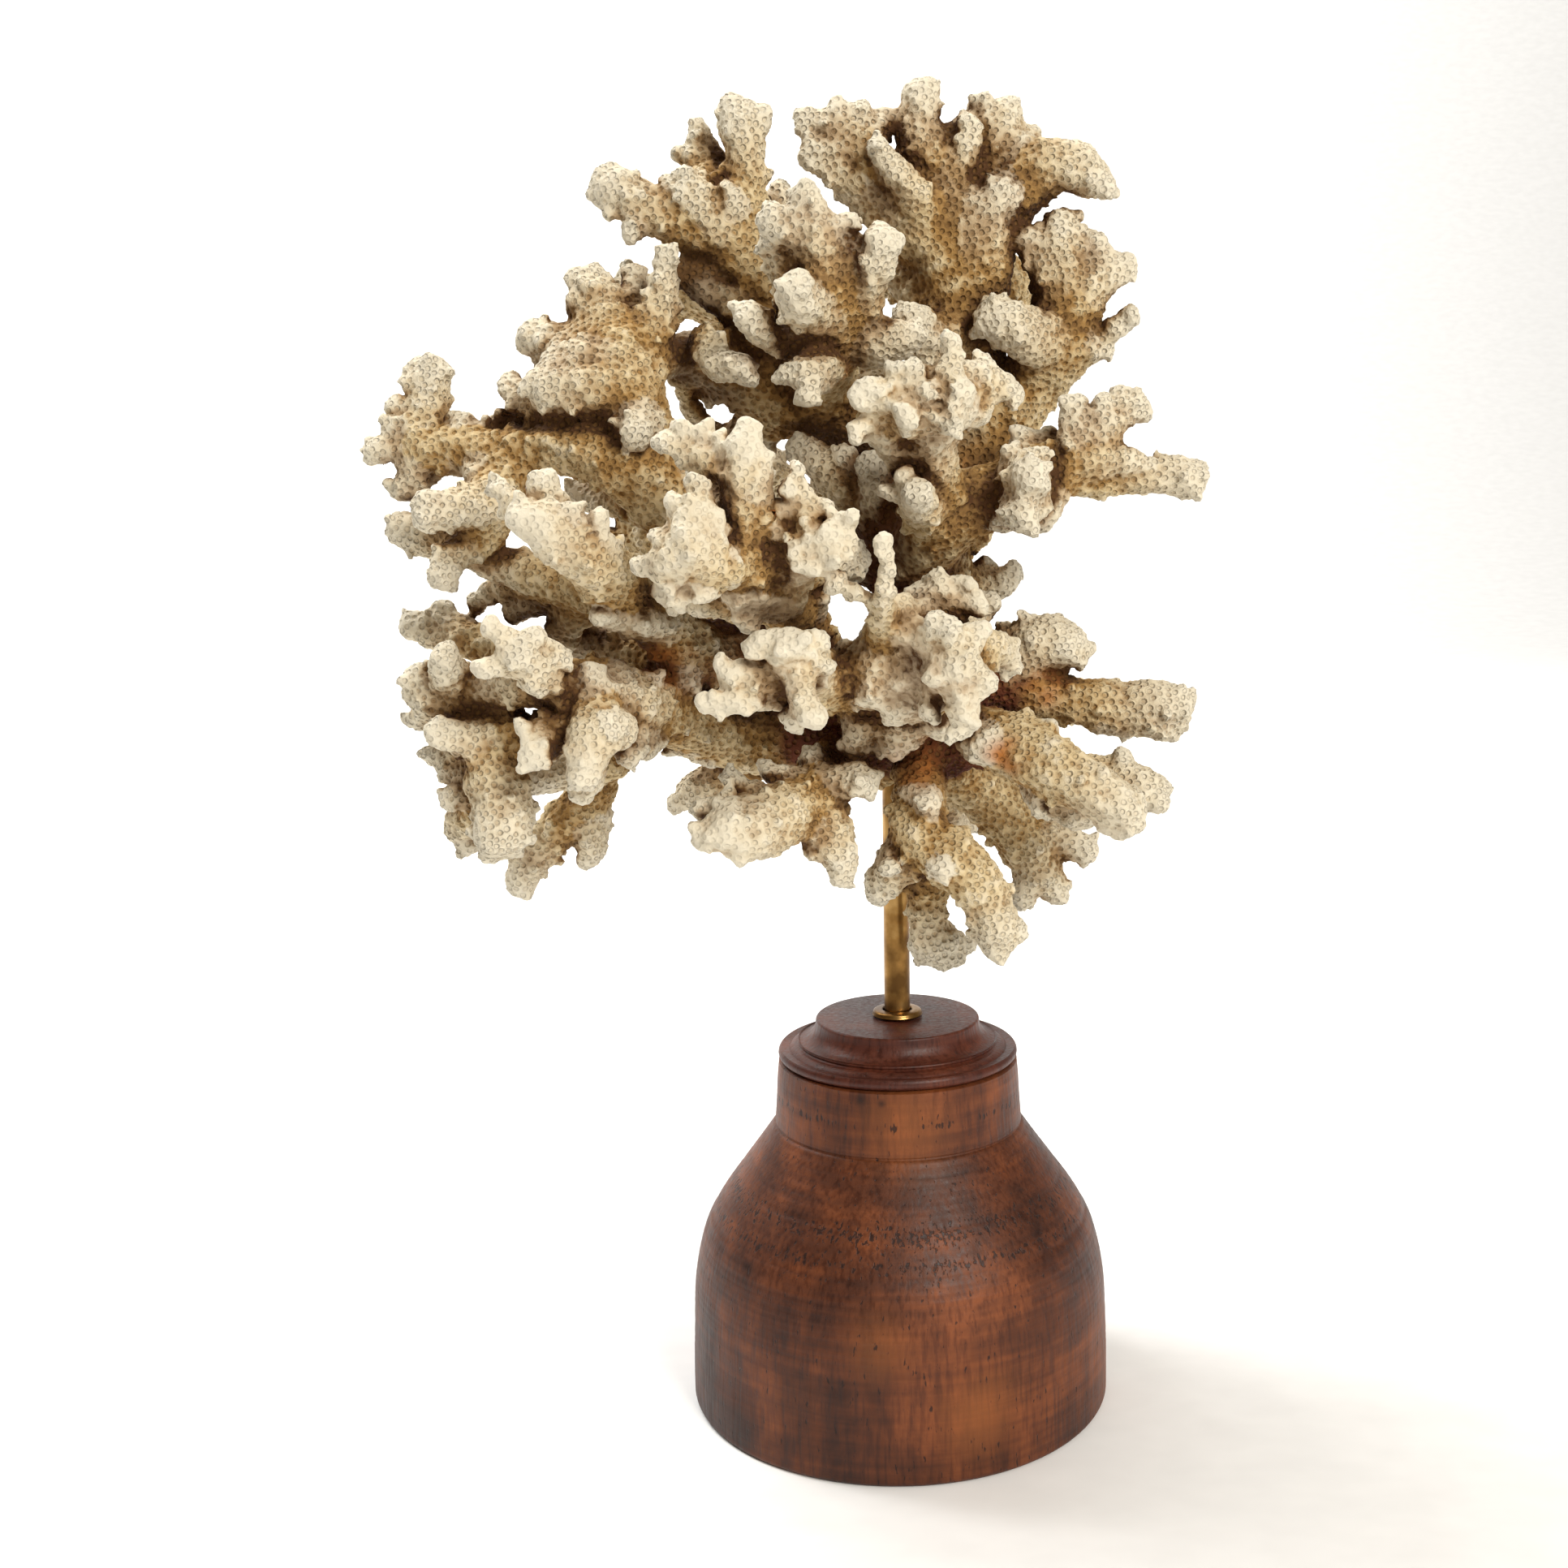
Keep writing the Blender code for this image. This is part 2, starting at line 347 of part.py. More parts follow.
FRONT_LEFT_BOUGH = [
    [(-13, 144, -6, 5), (-18, 151, -18, 5), (-22, 158.5, -33, 5.4),
     (-27, 164, -40, 5.4), (-27.5, 171, -43, 4.9), (-26.5, 179, -44, 4.5),
     (-26, 185, -45, 3.5), (-26, 187.6, -45, 2.5)],
    [(-28, 178, -43, 3.6), (-33, 182, -43, 3.2), (-34.5, 186.6, -43, 2)],
    [(-33, 182, -42, 3.2), (-38.5, 184.3, -40, 3.3), (-41.2, 184, -40, 2.6)],
    [(-38, 185.5, -40, 2.6), (-38, 187.6, -40, 1.8)],
    [(-26, 163, -40, 5), (-33, 163, -46, 5.4), (-37, 166, -49, 5.9),
     (-38, 171, -49, 4.7), (-36, 175.2, -48, 2.7), (-37.4, 177.6, -48, 1.7)],
    [(-38, 165, -49, 5.4), (-43, 164.5, -48, 3.8), (-46.6, 162.2, -46, 2.3)],
    [(-41, 168, -48, 3.8), (-44.6, 168.8, -47, 1.6)],
    [(-36, 162, -46, 4.4), (-37, 158.3, -46, 3), (-40.6, 156, -45, 1.9)],
    [(-30.6, 160, -46, 2.2), (-30.3, 163.6, -48, 1.7)],
    [(-25, 157, -35, 3.6), (-27.5, 152.5, -36, 2.3)],
    [(-21, 157.5, -33, 5), (-28, 158.3, -38, 4.6)],
    [(-18, 151, -18, 4), (-15, 155.5, -22, 2.8), (-14, 157, -24, 2)],
]
FRONT_MIDDLE_BOUGH = [
    [(-20, 161, -35, 4.6), (-15, 164, -42, 4.6), (-11, 166.3, -46, 4.4),
     (-9.6, 168.2, -47, 3.4)],
    [(-14, 163, -44, 4), (-16.6, 163, -46, 2.5)],
    [(-15, 167, -43, 4.2), (-15, 172, -43, 3.2), (-16.5, 175.3, -44, 2.4),
     (-17.4, 177.6, -44, 1.3)],
    [(-16.8, 174, -43, 2.6), (-19, 175.8, -44, 1.5)],
    [(-18, 167.5, -42, 3.6), (-21, 168, -43, 2.6), (-20.5, 172.4, -42, 1.6)],
    [(-10, 166, -46, 3.6), (-8.7, 164.8, -46, 2.7)],
]
# Boughs behind the rod, hidden in the photograph
BACK_LOWER_LEFT_BOUGH = [
    [(-6, 130, 9, 6.4), (-14, 130, 22, 6), (-24, 131, 34, 5.4),
     (-34, 134, 44, 5), (-44, 136, 50, 4.4), (-50, 138, 52, 3.4)],
    [(-24, 131, 34, 5), (-21, 138, 44, 4), (-19.5, 143.5, 50, 3.2)],
    [(-34, 134, 44, 4.6), (-33, 130, 52, 3)],
    [(-16, 130, 26, 5), (-15, 127.5, 36, 3.4)],
]
BACK_LEFT_BOUGH = [
    [(-3, 140, 9, 6.4), (-17, 144, 22, 5), (-28, 152, 32, 5.2),
     (-36, 160, 40, 5), (-44, 167, 46, 4.4), (-50, 176, 50, 4),
     (-54, 182, 52, 3)],
    [(-36, 160, 40, 4.4), (-28, 168, 48, 4.2), (-27, 176, 54, 3.4)],
    [(-44, 167, 46, 4), (-58, 165.5, 52, 3.4), (-63, 169, 54, 2.6)],
    [(-28, 152, 32, 5), (-40, 150, 42, 3.8), (-46, 152, 48, 3)],
]
BACK_UPPER_LEFT_BOUGH = [
    [(-20, 194, 11, 5.4), (-24, 200, 24, 5), (-25, 208, 34, 4.6),
     (-26, 216, 40, 4.2), (-26, 224, 44, 3.3)],
    [(-24, 202, 26, 4.6), (-17, 207, 36, 4), (-13, 213, 42, 3.6),
     (-13.5, 221, 44, 2.8)],
    [(-25, 208, 32, 4.6), (-35, 212, 34, 4.6), (-44, 211, 38, 4),
     (-52, 209, 40, 3.2)],
    [(-24, 201, 25, 4.6), (-21, 196, 38, 3.8), (-16, 193, 46, 3)],
]
BACK_UPPER_RIGHT_BOUGH = [
    [(14, 206, 11, 6), (14, 212, 24, 5.4), (13, 220, 34, 5),
     (15, 229, 40, 4.2), (18, 236.5, 44, 3.3)],
    [(14, 214, 26, 5), (24, 213, 36, 4.4), (31, 214, 42, 4), (35.5, 212, 44, 3)],
    [(13, 220, 34, 4.4), (8, 228, 38, 3.4), (5, 233, 40, 2.6)],
    [(8, 211, 20, 5), (3, 214, 30, 4.4), (-3, 216, 38, 3.2)],
    [(14, 210, 22, 4.6), (16, 204, 36, 3.8), (14, 200, 44, 3)],
]
BACK_CENTRE_BOUGH = [
    [(8, 172, 7, 7), (6, 178, 20, 6.4), (2, 186, 32, 6), (-3, 192, 42, 5.4),
     (-6, 199, 48, 4.6)],
    [(6, 180, 24, 6), (14, 188, 36, 5), (19, 193, 44, 4.2), (22, 191, 50, 3)],
    [(2, 186, 32, 5), (8, 176, 46, 4.6), (8, 170, 52, 3.8)],
    [(4, 180, 24, 5), (-7, 174, 28, 5), (-17, 172.5, 32, 4.4), (-21, 177, 38, 3.6),
     (-24, 183, 42, 3)],
    [(-3, 192, 42, 4.4), (-12, 190, 50, 3.6), (-17, 192, 54, 2.8)],
]
BACK_RIGHT_BOUGH = [
    [(8, 163, 6, 6), (11, 169, 20, 5), (16, 174, 32, 4.8), (22, 176.5, 42, 4.2),
     (27, 178, 48, 3.6)],
    [(9, 160, 8, 4.6), (15, 159.6, 13, 3.1), (20, 158.7, 15, 3),
     (22.4, 160.6, 15, 1.9)],
    [(16.5, 159.6, 14, 2.4), (16.8, 161.8, 14, 1.6)],
    [(14, 169, 26, 4.6), (6, 164, 40, 4.4), (2, 160, 48, 3.4)],
]
BACK_LOWER_RIGHT_BOUGH = [
    [(6, 132, 9, 6.4), (12, 134, 22, 6), (19, 136.5, 34, 5.4),
     (26, 137.5, 44, 4.6), (34, 136.6, 50, 4.1), (40, 135.8, 54, 3.4)],
    [(12, 134, 22, 5.4), (16, 128, 34, 5), (22, 124.5, 44, 4.2),
     (30, 122, 48, 3.3)],
    [(19, 137, 34, 4.6), (14, 146, 44, 4.2), (12, 152, 50, 3.2)],
]
BACK_HANGING_BOUGH = [
    [(2, 129, 11, 6), (3, 124, 24, 5.4), (4, 119, 33, 4.8), (5, 113, 40, 4.2),
     (6, 107, 44, 3.4)],
    [(4, 120, 32, 4.4), (10, 117, 40, 3.4), (13, 113.5, 44, 2.6)],
    [(3, 124, 24, 4.4), (-1, 126, 38, 3.6), (-4, 124.5, 44, 2.8)],
]

# Boughs in the order in which they leave the stem: a later one is cut back
# where it meets an earlier one
BOUGHS = {
    "coral_stem": CORAL_STEM,
    "crown_left_bough": CROWN_LEFT_BOUGH,
    "upper_right_bough": UPPER_RIGHT_BOUGH,
    "crown_right_bough": CROWN_RIGHT_BOUGH,
    "crown_front_bough": CROWN_FRONT_BOUGH,
    "right_arm": RIGHT_ARM,
    "front_right_bough": FRONT_RIGHT_BOUGH,
    "long_right_finger": LONG_RIGHT_FINGER,
    "lower_right_bough": LOWER_RIGHT_BOUGH,
    "lower_right_front_bough": LOWER_RIGHT_FRONT_BOUGH,
    "hanging_bough": HANGING_BOUGH,
    "front_centre_bough": FRONT_CENTRE_BOUGH,
    "star_bough": STAR_BOUGH,
    "lower_front_bough": LOWER_FRONT_BOUGH,
    "lower_left_bough": LOWER_LEFT_BOUGH,
    "far_lower_left_bough": FAR_LOWER_LEFT_BOUGH,
    "left_front_bough": LEFT_FRONT_BOUGH,
    "far_left_bough": FAR_LEFT_BOUGH,
    "upper_left_bough": UPPER_LEFT_BOUGH,
    "front_left_bough": FRONT_LEFT_BOUGH,
    "front_middle_bough": FRONT_MIDDLE_BOUGH,
    "back_lower_left_bough": BACK_LOWER_LEFT_BOUGH,
    "back_left_bough": BACK_LEFT_BOUGH,
    "back_upper_left_bough": BACK_UPPER_LEFT_BOUGH,
    "back_upper_right_bough": BACK_UPPER_RIGHT_BOUGH,
    "back_centre_bough": BACK_CENTRE_BOUGH,
    "back_right_bough": BACK_RIGHT_BOUGH,
    "back_lower_right_bough": BACK_LOWER_RIGHT_BOUGH,
    "back_hanging_bough": BACK_HANGING_BOUGH,
}


def clear_scene():
    """Remove every object that the file opened with."""
    for item in list(bpy.data.objects):
        bpy.data.objects.remove(item, do_unlink=True)


def collection_named(name):
    """Return a new collection linked to the scene."""
    group = bpy.data.collections.new(name)
    bpy.context.scene.collection.children.link(group)
    return group


def material(name, colour, roughness, metallic=0.0):
    """Return a Principled material with a linear base colour."""
    made = bpy.data.materials.new(name)
    made.use_nodes = True
    shader = made.node_tree.nodes["Principled BSDF"]
    shader.inputs["Base Color"].default_value = (*colour, 1.0)
    shader.inputs["Roughness"].default_value = roughness
    shader.inputs["Metallic"].default_value = metallic
    return made


def add_object(name, mesh, group, finish=None):
    """Link a mesh as an object, with its material."""
    item = bpy.data.objects.new(name, mesh)
    group.objects.link(item)
    if finish:
        mesh.materials.clear()
        mesh.materials.append(finish)
    return item


def evaluated_mesh(item):
    """Return a new mesh with the object's modifiers applied."""
    bpy.context.view_layer.update()
    graph = bpy.context.evaluated_depsgraph_get()
    return bpy.data.meshes.new_from_object(item.evaluated_get(graph))


def turned(name, profile, group, finish, steps=TURNED_STEPS):
    """Spin a closed outline of (radius, height) points round the Z axis."""
    mesh = bpy.data.meshes.new(name)
    outline = bmesh.new()
    points = [outline.verts.new((radius, 0.0, height)) for radius, height in profile]
    for first, second in zip(points, points[1:]):
        outline.edges.new((first, second))
    if profile[0][0] > ROD_RADIUS:
        outline.edges.new((points[-1], points[0]))
    outline.to_mesh(mesh)
    outline.free()
    item = add_object(name, mesh, group, finish)
    spin = item.modifiers.new("turn", "SCREW")
    spin.axis = "Z"
    spin.angle = math.tau
    spin.steps = steps
    spin.render_steps = steps
    spin.use_merge_vertices = True
    spin.merge_threshold = 0.00001
    spin.use_smooth_shade = True
    return item


def arc(centre_radius, centre_height, radius, start, stop, count):
    """Points of a quarter-round or a cove, as (radius, height) pairs."""
    return [
        (centre_radius + radius * math.cos(math.radians(start + (stop - start) * i / count)),
         centre_height + radius * math.sin(math.radians(start + (stop - start) * i / count)))
        for i in range(count + 1)
    ]


def stand(group):
    """Build the wooden body, its cap, the brass flange and the rod."""
    hole = ROD_RADIUS + CLEARANCE
    hole_floor = ROD_FOOT - CLEARANCE
    shoulder = [
        (24.1, 54.8), (27.6, 50.0), (34.8, 40.0), (37.6, 35.0), (39.2, 30.0),
        (40.1, 25.0), (40.8, 14.0),
    ]
    body = [(0.0, hole_floor), (hole, hole_floor), (hole, COLLAR_HEIGHT)]
    body += [(CAP_RADIUS - 0.2 * MM, COLLAR_HEIGHT), (23.6 * MM, 61.0 * MM)]
    body += [(radius * MM, height * MM) for radius, height in shoulder]
    body += [(FOOT_RADIUS, 1.2 * MM), (FOOT_RADIUS - 1.2 * MM, 0.0), (0.0, 0.0)]
    wood = material("turned_wood_body", (0.2, 0.085, 0.035), 0.55)
    turned("wood_base", body, group, wood)

    joint = COLLAR_HEIGHT + CLEARANCE
    cap = [(hole, CAP_HEIGHT), (15.8 * MM, CAP_HEIGHT)]
    cap += arc(19.3 * MM, CAP_HEIGHT - 0.6 * MM, 3.5 * MM, 190, 250, 2)
    cap += [(19.3 * MM, 70.9 * MM)]
    cap += arc(19.6 * MM, joint + 0.3 * MM, 2.6 * MM, 85, 30, 2)
    cap += [(CAP_RADIUS, joint + 0.9 * MM), (CAP_RADIUS, joint), (hole, joint)]
    turned("wood_cap", cap, group, material("turned_wood_cap", (0.16, 0.05, 0.022), 0.4))

    seat = CAP_HEIGHT + CLEARANCE
    flange = [(hole, seat + FLANGE_HEIGHT), (FLANGE_RADIUS - 1.0 * MM, seat + FLANGE_HEIGHT)]
    flange += [(FLANGE_RADIUS - 0.3 * MM, seat + 0.8 * FLANGE_HEIGHT)]
    flange += [(FLANGE_RADIUS, seat + 0.4 * FLANGE_HEIGHT), (FLANGE_RADIUS, seat)]
    flange += [(hole, seat)]
    brass = material("aged_brass_flange", (0.35, 0.2, 0.06), 0.4, 1.0)
    turned("brass_flange", flange, group, brass, ROD_STEPS)

    rod = [(0.0, ROD_TOP), (ROD_RADIUS, ROD_TOP), (ROD_RADIUS, ROD_FOOT), (0.0, ROD_FOOT)]
    turned("brass_rod", rod, group, material("aged_brass_rod", (0.35, 0.2, 0.06), 0.35, 1.0),
           ROD_STEPS)


def from_seen(point):
    """Move a bone point along the line of sight to its own depth."""
    across, up, depth, radius = point
    scale = 1.0 + depth / EYE_DISTANCE
    centre = Vector((across * scale, depth, EYE_HEIGHT + (up - EYE_HEIGHT) * scale))
    return centre * MM, radius * scale * MM


def add_bone(shape, start, end):
    """Add a tapered tube between two balls."""
    (first, first_radius), (second, second_radius) = start, end
    run = second - first
    turn = run.to_track_quat("Z", "Y").to_matrix().to_4x4()
    bmesh.ops.create_cone(
        shape, cap_ends=True, segments=14, radius1=first_radius, radius2=second_radius,
        depth=run.length, matrix=Matrix.Translation((first + second) / 2) @ turn)


def add_ball(shape, centre, radius):
    """Add a round joint or tip."""
    bmesh.ops.create_icosphere(
        shape, subdivisions=2, radius=radius, matrix=Matrix.Translation(centre))


def keep_largest_body(mesh):
    """Remove the loose scraps that a cut leaves beside the main body."""
    shape = bmesh.new()
    shape.from_mesh(mesh)
    bmesh.ops.remove_doubles(shape, verts=shape.verts, dist=WELD)
    bmesh.ops.dissolve_degenerate(shape, edges=shape.edges, dist=WELD)
    unseen = set(shape.verts)
    bodies = []
    while unseen:
        stack = [unseen.pop()]
        body = set(stack)
        while stack:
            for edge in stack.pop().link_edges:
                for vert in edge.verts:
                    if vert in unseen:
                        unseen.remove(vert)
                        body.add(vert)
                        stack.append(vert)
        bodies.append(body)
    bodies.sort(key=len, reverse=True)
    scraps = [vert for body in bodies[1:] for vert in body]
    bmesh.ops.delete(shape, geom=scraps, context="VERTS")
    bmesh.ops.triangulate(shape, faces=shape.faces)
    bmesh.ops.recalc_face_normals(shape, faces=shape.faces)
    shape.to_mesh(mesh)
    shape.free()
    return len(bodies) - 1


def modified(item, name, kind, **settings):
    """Add a modifier with its settings."""
    modifier = item.modifiers.new(name, kind)
    for key, value in settings.items():
        setattr(modifier, key, value)
    return modifier


def replace_mesh(item):
    """Apply the object's modifiers to its mesh."""
    mesh = evaluated_mesh(item)
    item.modifiers.clear()
    old = item.data
    item.data = mesh
    mesh.name = item.name
    bpy.data.meshes.remove(old)


def boxes_meet(first, second):
    """Whether two objects' bounding boxes overlap."""
    low_a, high_a = first
    low_b, high_b = second
    return all(low_a[i] < high_b[i] and low_b[i] < high_a[i] for i in range(3))


def box_of(mesh):
    """Lowest and highest corner of a mesh."""
    points = [vert.co for vert in mesh.vertices]
    low = [min(point[i] for point in points) for i in range(3)]
    high = [max(point[i] for point in points) for i in range(3)]
    return low, high


def bough(name, chains, group, finish):
    """Grow one bough: tubes and balls merged into one lumpy skin."""
    shape = bmesh.new()
    for chain in chains:
        joints = [from_seen(point) for point in chain]
        for centre, radius in joints:
            add_ball(shape, centre, radius)
        for start, end in zip(joints, joints[1:]):
            add_bone(shape, start, end)
    mesh = bpy.data.meshes.new(name)
    shape.to_mesh(mesh)
    shape.free()
    item = add_object(name, mesh, group, finish)
    modified(item, "merge", "REMESH", mode="VOXEL", voxel_size=GRAIN)
    modified(item, "soften", "SMOOTH", factor=0.5, iterations=3)
    modified(item, "swell", "DISPLACE", strength=SWELL, mid_level=0.0)
    replace_mesh(item)
    keep_largest_body(item.data)
    area = sum(face.area for face in item.data.polygons)
    wanted = area / AREA_PER_TRIANGLE
    modified(item, "facet", "DECIMATE", ratio=wanted / len(item.data.polygons))
    replace_mesh(item)
    return item


def cutter_of(item, group):
    """A copy of a finished bough, larger by the gap between boughs."""
    copy = add_object(item.name + "_gap", item.data.copy(), group)
    modified(copy, "gap", "DISPLACE", strength=FORK_GAP, mid_level=0.0)
    replace_mesh(copy)
    copy.hide_render = True
    copy.display_type = "WIRE"
    return copy


def rod_socket(group):
    """The hole in the stem that the rod stands in."""
    shape = bmesh.new()
    depth = 40.0 * MM
    top = ROD_TOP + SOCKET_CLEARANCE
    bmesh.ops.create_cone(
        shape, cap_ends=True, segments=ROD_STEPS, depth=depth,
        radius1=ROD_RADIUS + SOCKET_CLEARANCE, radius2=ROD_RADIUS + SOCKET_CLEARANCE,
        matrix=Matrix.Translation((0.0, 0.0, top - depth / 2)))
    mesh = bpy.data.meshes.new("rod_socket")
    shape.to_mesh(mesh)
    shape.free()
    item = add_object("rod_socket", mesh, group)
    item.hide_render = True
    item.display_type = "WIRE"
    return item


def coral(group, cutters):
    """Grow the stem and every bough, each cut back from those before it."""
    socket = rod_socket(cutters)
    finished = []
    for name, chains in BOUGHS.items():
        finish = material(name.replace("bough", "skeleton"), (0.55, 0.47, 0.33), 0.75)
        item = bough(name, chains, group, finish)
        box = box_of(item.data)
        neighbours = [cutter for cutter, area in finished if boxes_meet(box, area)]
        if name == "coral_stem":
            neighbours.append(socket)
        for cutter in neighbours:
            modified(item, "cut_" + cutter.name, "BOOLEAN", operation="DIFFERENCE",
                     solver="EXACT", use_self=True, object=cutter)
        replace_mesh(item)
        scraps = keep_largest_body(item.data)
        cutter = cutter_of(item, cutters)
        finished.append((cutter, box_of(cutter.data)))
        print(name, len(item.data.polygons), "triangles,", scraps, "scraps")


clear_scene()
parts = collection_named("branching_coral")
guides = collection_named("cutters")
stand(parts)
coral(parts, guides)
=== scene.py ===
# Branching coral on a brass rod and a turned wooden stand.
# Sizes are in millimetres and turned to metres where a mesh is made.
import math

import bpy
import numpy as np
from mathutils import Matrix, Vector, kdtree, noise


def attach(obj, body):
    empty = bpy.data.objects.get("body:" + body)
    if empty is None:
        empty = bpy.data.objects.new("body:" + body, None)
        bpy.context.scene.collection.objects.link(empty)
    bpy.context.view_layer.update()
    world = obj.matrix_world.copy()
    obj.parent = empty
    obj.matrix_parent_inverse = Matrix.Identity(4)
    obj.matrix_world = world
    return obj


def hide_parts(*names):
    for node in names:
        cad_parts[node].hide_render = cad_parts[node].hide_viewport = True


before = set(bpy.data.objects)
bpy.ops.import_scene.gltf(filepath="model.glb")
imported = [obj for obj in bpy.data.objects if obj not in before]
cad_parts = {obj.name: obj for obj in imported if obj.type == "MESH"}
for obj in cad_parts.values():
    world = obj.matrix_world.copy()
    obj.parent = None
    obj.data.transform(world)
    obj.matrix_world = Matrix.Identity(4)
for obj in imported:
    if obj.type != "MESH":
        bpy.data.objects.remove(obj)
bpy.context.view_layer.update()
mm = 0.001
print("frame loaded:", len(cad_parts), "nodes")


# Colours and nodes

def toLinear(hexColour):
    # sRGB hex to the linear values that shaders use
    values = [int(hexColour[i:i + 2], 16) / 255 for i in (1, 3, 5)]
    return [v / 12.92 if v <= 0.04045 else ((v + 0.055) / 1.055) ** 2.4 for v in values] + [1.0]


def addNode(tree, kind, settings=None, **inputs):
    # an input takes a number, a hex colour, a node or a (node, output) pair, and a colour
    # ramp takes its (place, colour) stops as a setting, each colour a hex value or a grey
    node = tree.nodes.new("ShaderNode" + kind)
    for key, value in (settings or {}).items():
        if key != "stops":
            setattr(node, key, value)
            continue
        band = node.color_ramp
        while len(band.elements) < len(value):
            band.elements.new(1.0)
        for element, (place, colour) in zip(band.elements, value):
            element.position = place
            element.color = toLinear(colour) if isinstance(colour, str) else (colour, colour, colour, 1)
    for key, value in inputs.items():
        socket = node.inputs[int(key[2:])] if key.startswith("in") else node.inputs[key]
        if isinstance(value, bpy.types.Node):
            value = (value, 0)
        if isinstance(value, tuple) and isinstance(value[0], bpy.types.Node):
            tree.links.new(value[0].outputs[value[1]], socket)
        else:
            socket.default_value = toLinear(value) if isinstance(value, str) else value
    return node


def newMaterial(name):
    made = bpy.data.materials.new(name)
    made.use_nodes = True
    made.node_tree.nodes.clear()
    return made, made.node_tree


def noiseScale(size):
    # the scale of a noise whose features are this many millimetres wide
    return 1 / (size * mm)


# The coral

# Lengths in millimetres
coral = {
    "step": 0.585,           # grid step of the skin
    "palm": 0.26,            # how softly branches of one bough run together, by thickness
    "broadPalm": 0.55,       # the same in the boughs that are spread like a hand
    "broadBoughs": ("crown_left_bough", "crown_front_bough", "crown_right_bough",
                    "upper_right_bough", "upper_left_bough", "far_left_bough"),
    "fillet": 1.6,           # how softly one bough runs into the next
    "reach": 5.0,            # distances are worked out this far from a branch
    "far": 9,                # and taken as this elsewhere
    "knobEvery": 3.6,        # spacing of the little knobs along a branch
    "knobShare": 0.7,        # share of the places for a knob that have one
    "knobRadius": (0.75, 1.3),
    "knobHeight": (0.0, 1.1),
    "relax": 0.28,           # how far the raw skin is smoothed
    "swell": 0.45,           # slow unevenness of the skin, with features of two sizes
    "swellSizes": (5.0, 2.3),
    "lumps": 0.85,           # height of the rounded lumps that cover the branches
    "lumpSize": 4.0,
    "poreSpacing": 1.22,     # least distance between two pores
    "poreReach": 0.90,       # a pore shapes the skin this far round its centre
    "poreClosing": 0.16,     # how far the skin round a pore draws in to its rim
    "pitRadius": 0.66,
    "pitDepth": 0.45,
    "rimRadius": 0.80,
    "rimWidth": 0.22,
    "rimHeight": 0.12,
    "capWall": 0.9,          # a cap between two boughs starts with a wall of this depth
    "capDepth": 6.0,         # and its middle lies this much deeper
    "seed": 11,
    # ends that stand this far in front of the rod are worn and whitened as a painted highlight, most of all
    # after the span
    "wornHighlightFrom": 26.0,
    "wornHighlightSpan": 22.0,
    "paleTip": 14.0,         # length of the pale end of a branch
    # rot-brown film round the middle of the colony, where the limbs fork
    "heart": (2.0, 0.0, 152.0),
    "heartSize": (34, 30, 46),
    # more brown film, partly painted shade in dark places between the boughs, and orange
    # growth: place across, behind and up, size and strength
    "filmAndShadeSpots": [
        (-36, 0, 196, 11, 0.8), (-30, 4, 187, 9, 0.7), (-44, -4, 186, 7, 0.5), (-64, -8, 187, 5, 0.5),
        (7, 5, 218, 9, 0.6), (-5, 5, 228, 7, 0.6), (-36, -6, 212, 9, 1.2), (-32, -14, 147, 9, 1.0),
        (2, -2, 172, 13, 0.8), (-2, 0, 164, 10, 0.9), (14, -5, 183, 7, 0.9), (6, -4, 150, 13, 0.8),
        (-13, -3, 131, 9, 1.0), (12, -8, 125, 8, 1.0), (16, -6, 137, 9, 0.8), (-22, -2, 140, 10, 0.5),
        (-41, -18, 143, 7, 1.0), (-48, -8, 160, 8, 0.5), (24, -12, 172, 6, 0.5), (2, 30, 150, 22, 0.5)],
    "orangeSpots": [
        (19, -29, 130, 4, 1.0), (28, -11, 140, 4, 0.9), (5, -20, 128, 6, 1.0), (27, -10, 174, 5, 0.6),
        (-42, -18, 146, 7, 0.8), (-48, -20, 155, 4, 0.4), (-20, 4, 176, 7, 0.4),
        (-13, -16, 193, 7, 0.8), (15, -8, 184, 6, 0.8)],
    # sizes of the patterns in the skin's colour
    "patches": 14.3,
    "mottling": 2.38,
    "grains": 0.385,         # coarser than real, so that they show
    # the dark end of these skin colours, set by how deep the skin lies in a hollow, is painted shade
    "skinShadeColours": [(0.30, "#dfd3b9"), (0.46, "#cfba90"), (0.62, "#a07c48"), (0.84, "#4e3219")],
    # chalk white of the tips, and of the painted highlight on the front-facing ends
    "chalkColour": "#dcd5c2",
    # the film colours also paint the shade in the hollows and in the dark spots
    "lowFilmAndShade": [(0.35, "#3d1a13"), (0.62, "#6e3c25")],      # maroon low down
    "highFilmAndShade": "#5a3f22",                                  # plain brown higher up
    "filmAndShadeHeights": (150, 185),
    "orangeColour": "#a8662c",
    "cupColour": "#7c5a2e",
    "poreWidths": (1.15, 0.88),      # pores are this much narrower or wider
}
# The eye's distance in front of the rod and its height, for bones given as they are seen
eyeDistance = 339.5
eyeHeight = 175.1

# Bones of every bough: chains of (across, up, depth behind the rod, radius) in
# millimetres, as seen from the front, each chain from its root to its tip.
# A bough has the name of the CAD node that it stands for.
boughs = {}
boughs["coral_stem"] = [
    [(-1, 127.5, 2, 7.6), (1, 132, 2, 9), (2, 138, 2, 9.6), (4, 147, 2, 9.2),
     (6, 157, 3, 7.4), (6, 166, 2, 7), (8, 173, 0, 6.8)],
    [(0, 133, 2, 9), (-9, 131, 2, 7), (-17, 132, 0, 6.3)],
    [(2, 139, 0, 9), (-8, 140, -2, 7)],
    [(6, 161, 3, 7.6), (0, 164, 4, 5), (-4, 167.5, 4, 4.2)],
    [(2, 160, 1, 6), (-5, 161.6, -2, 3), (-9, 161.4, 0, 2.2)],
]
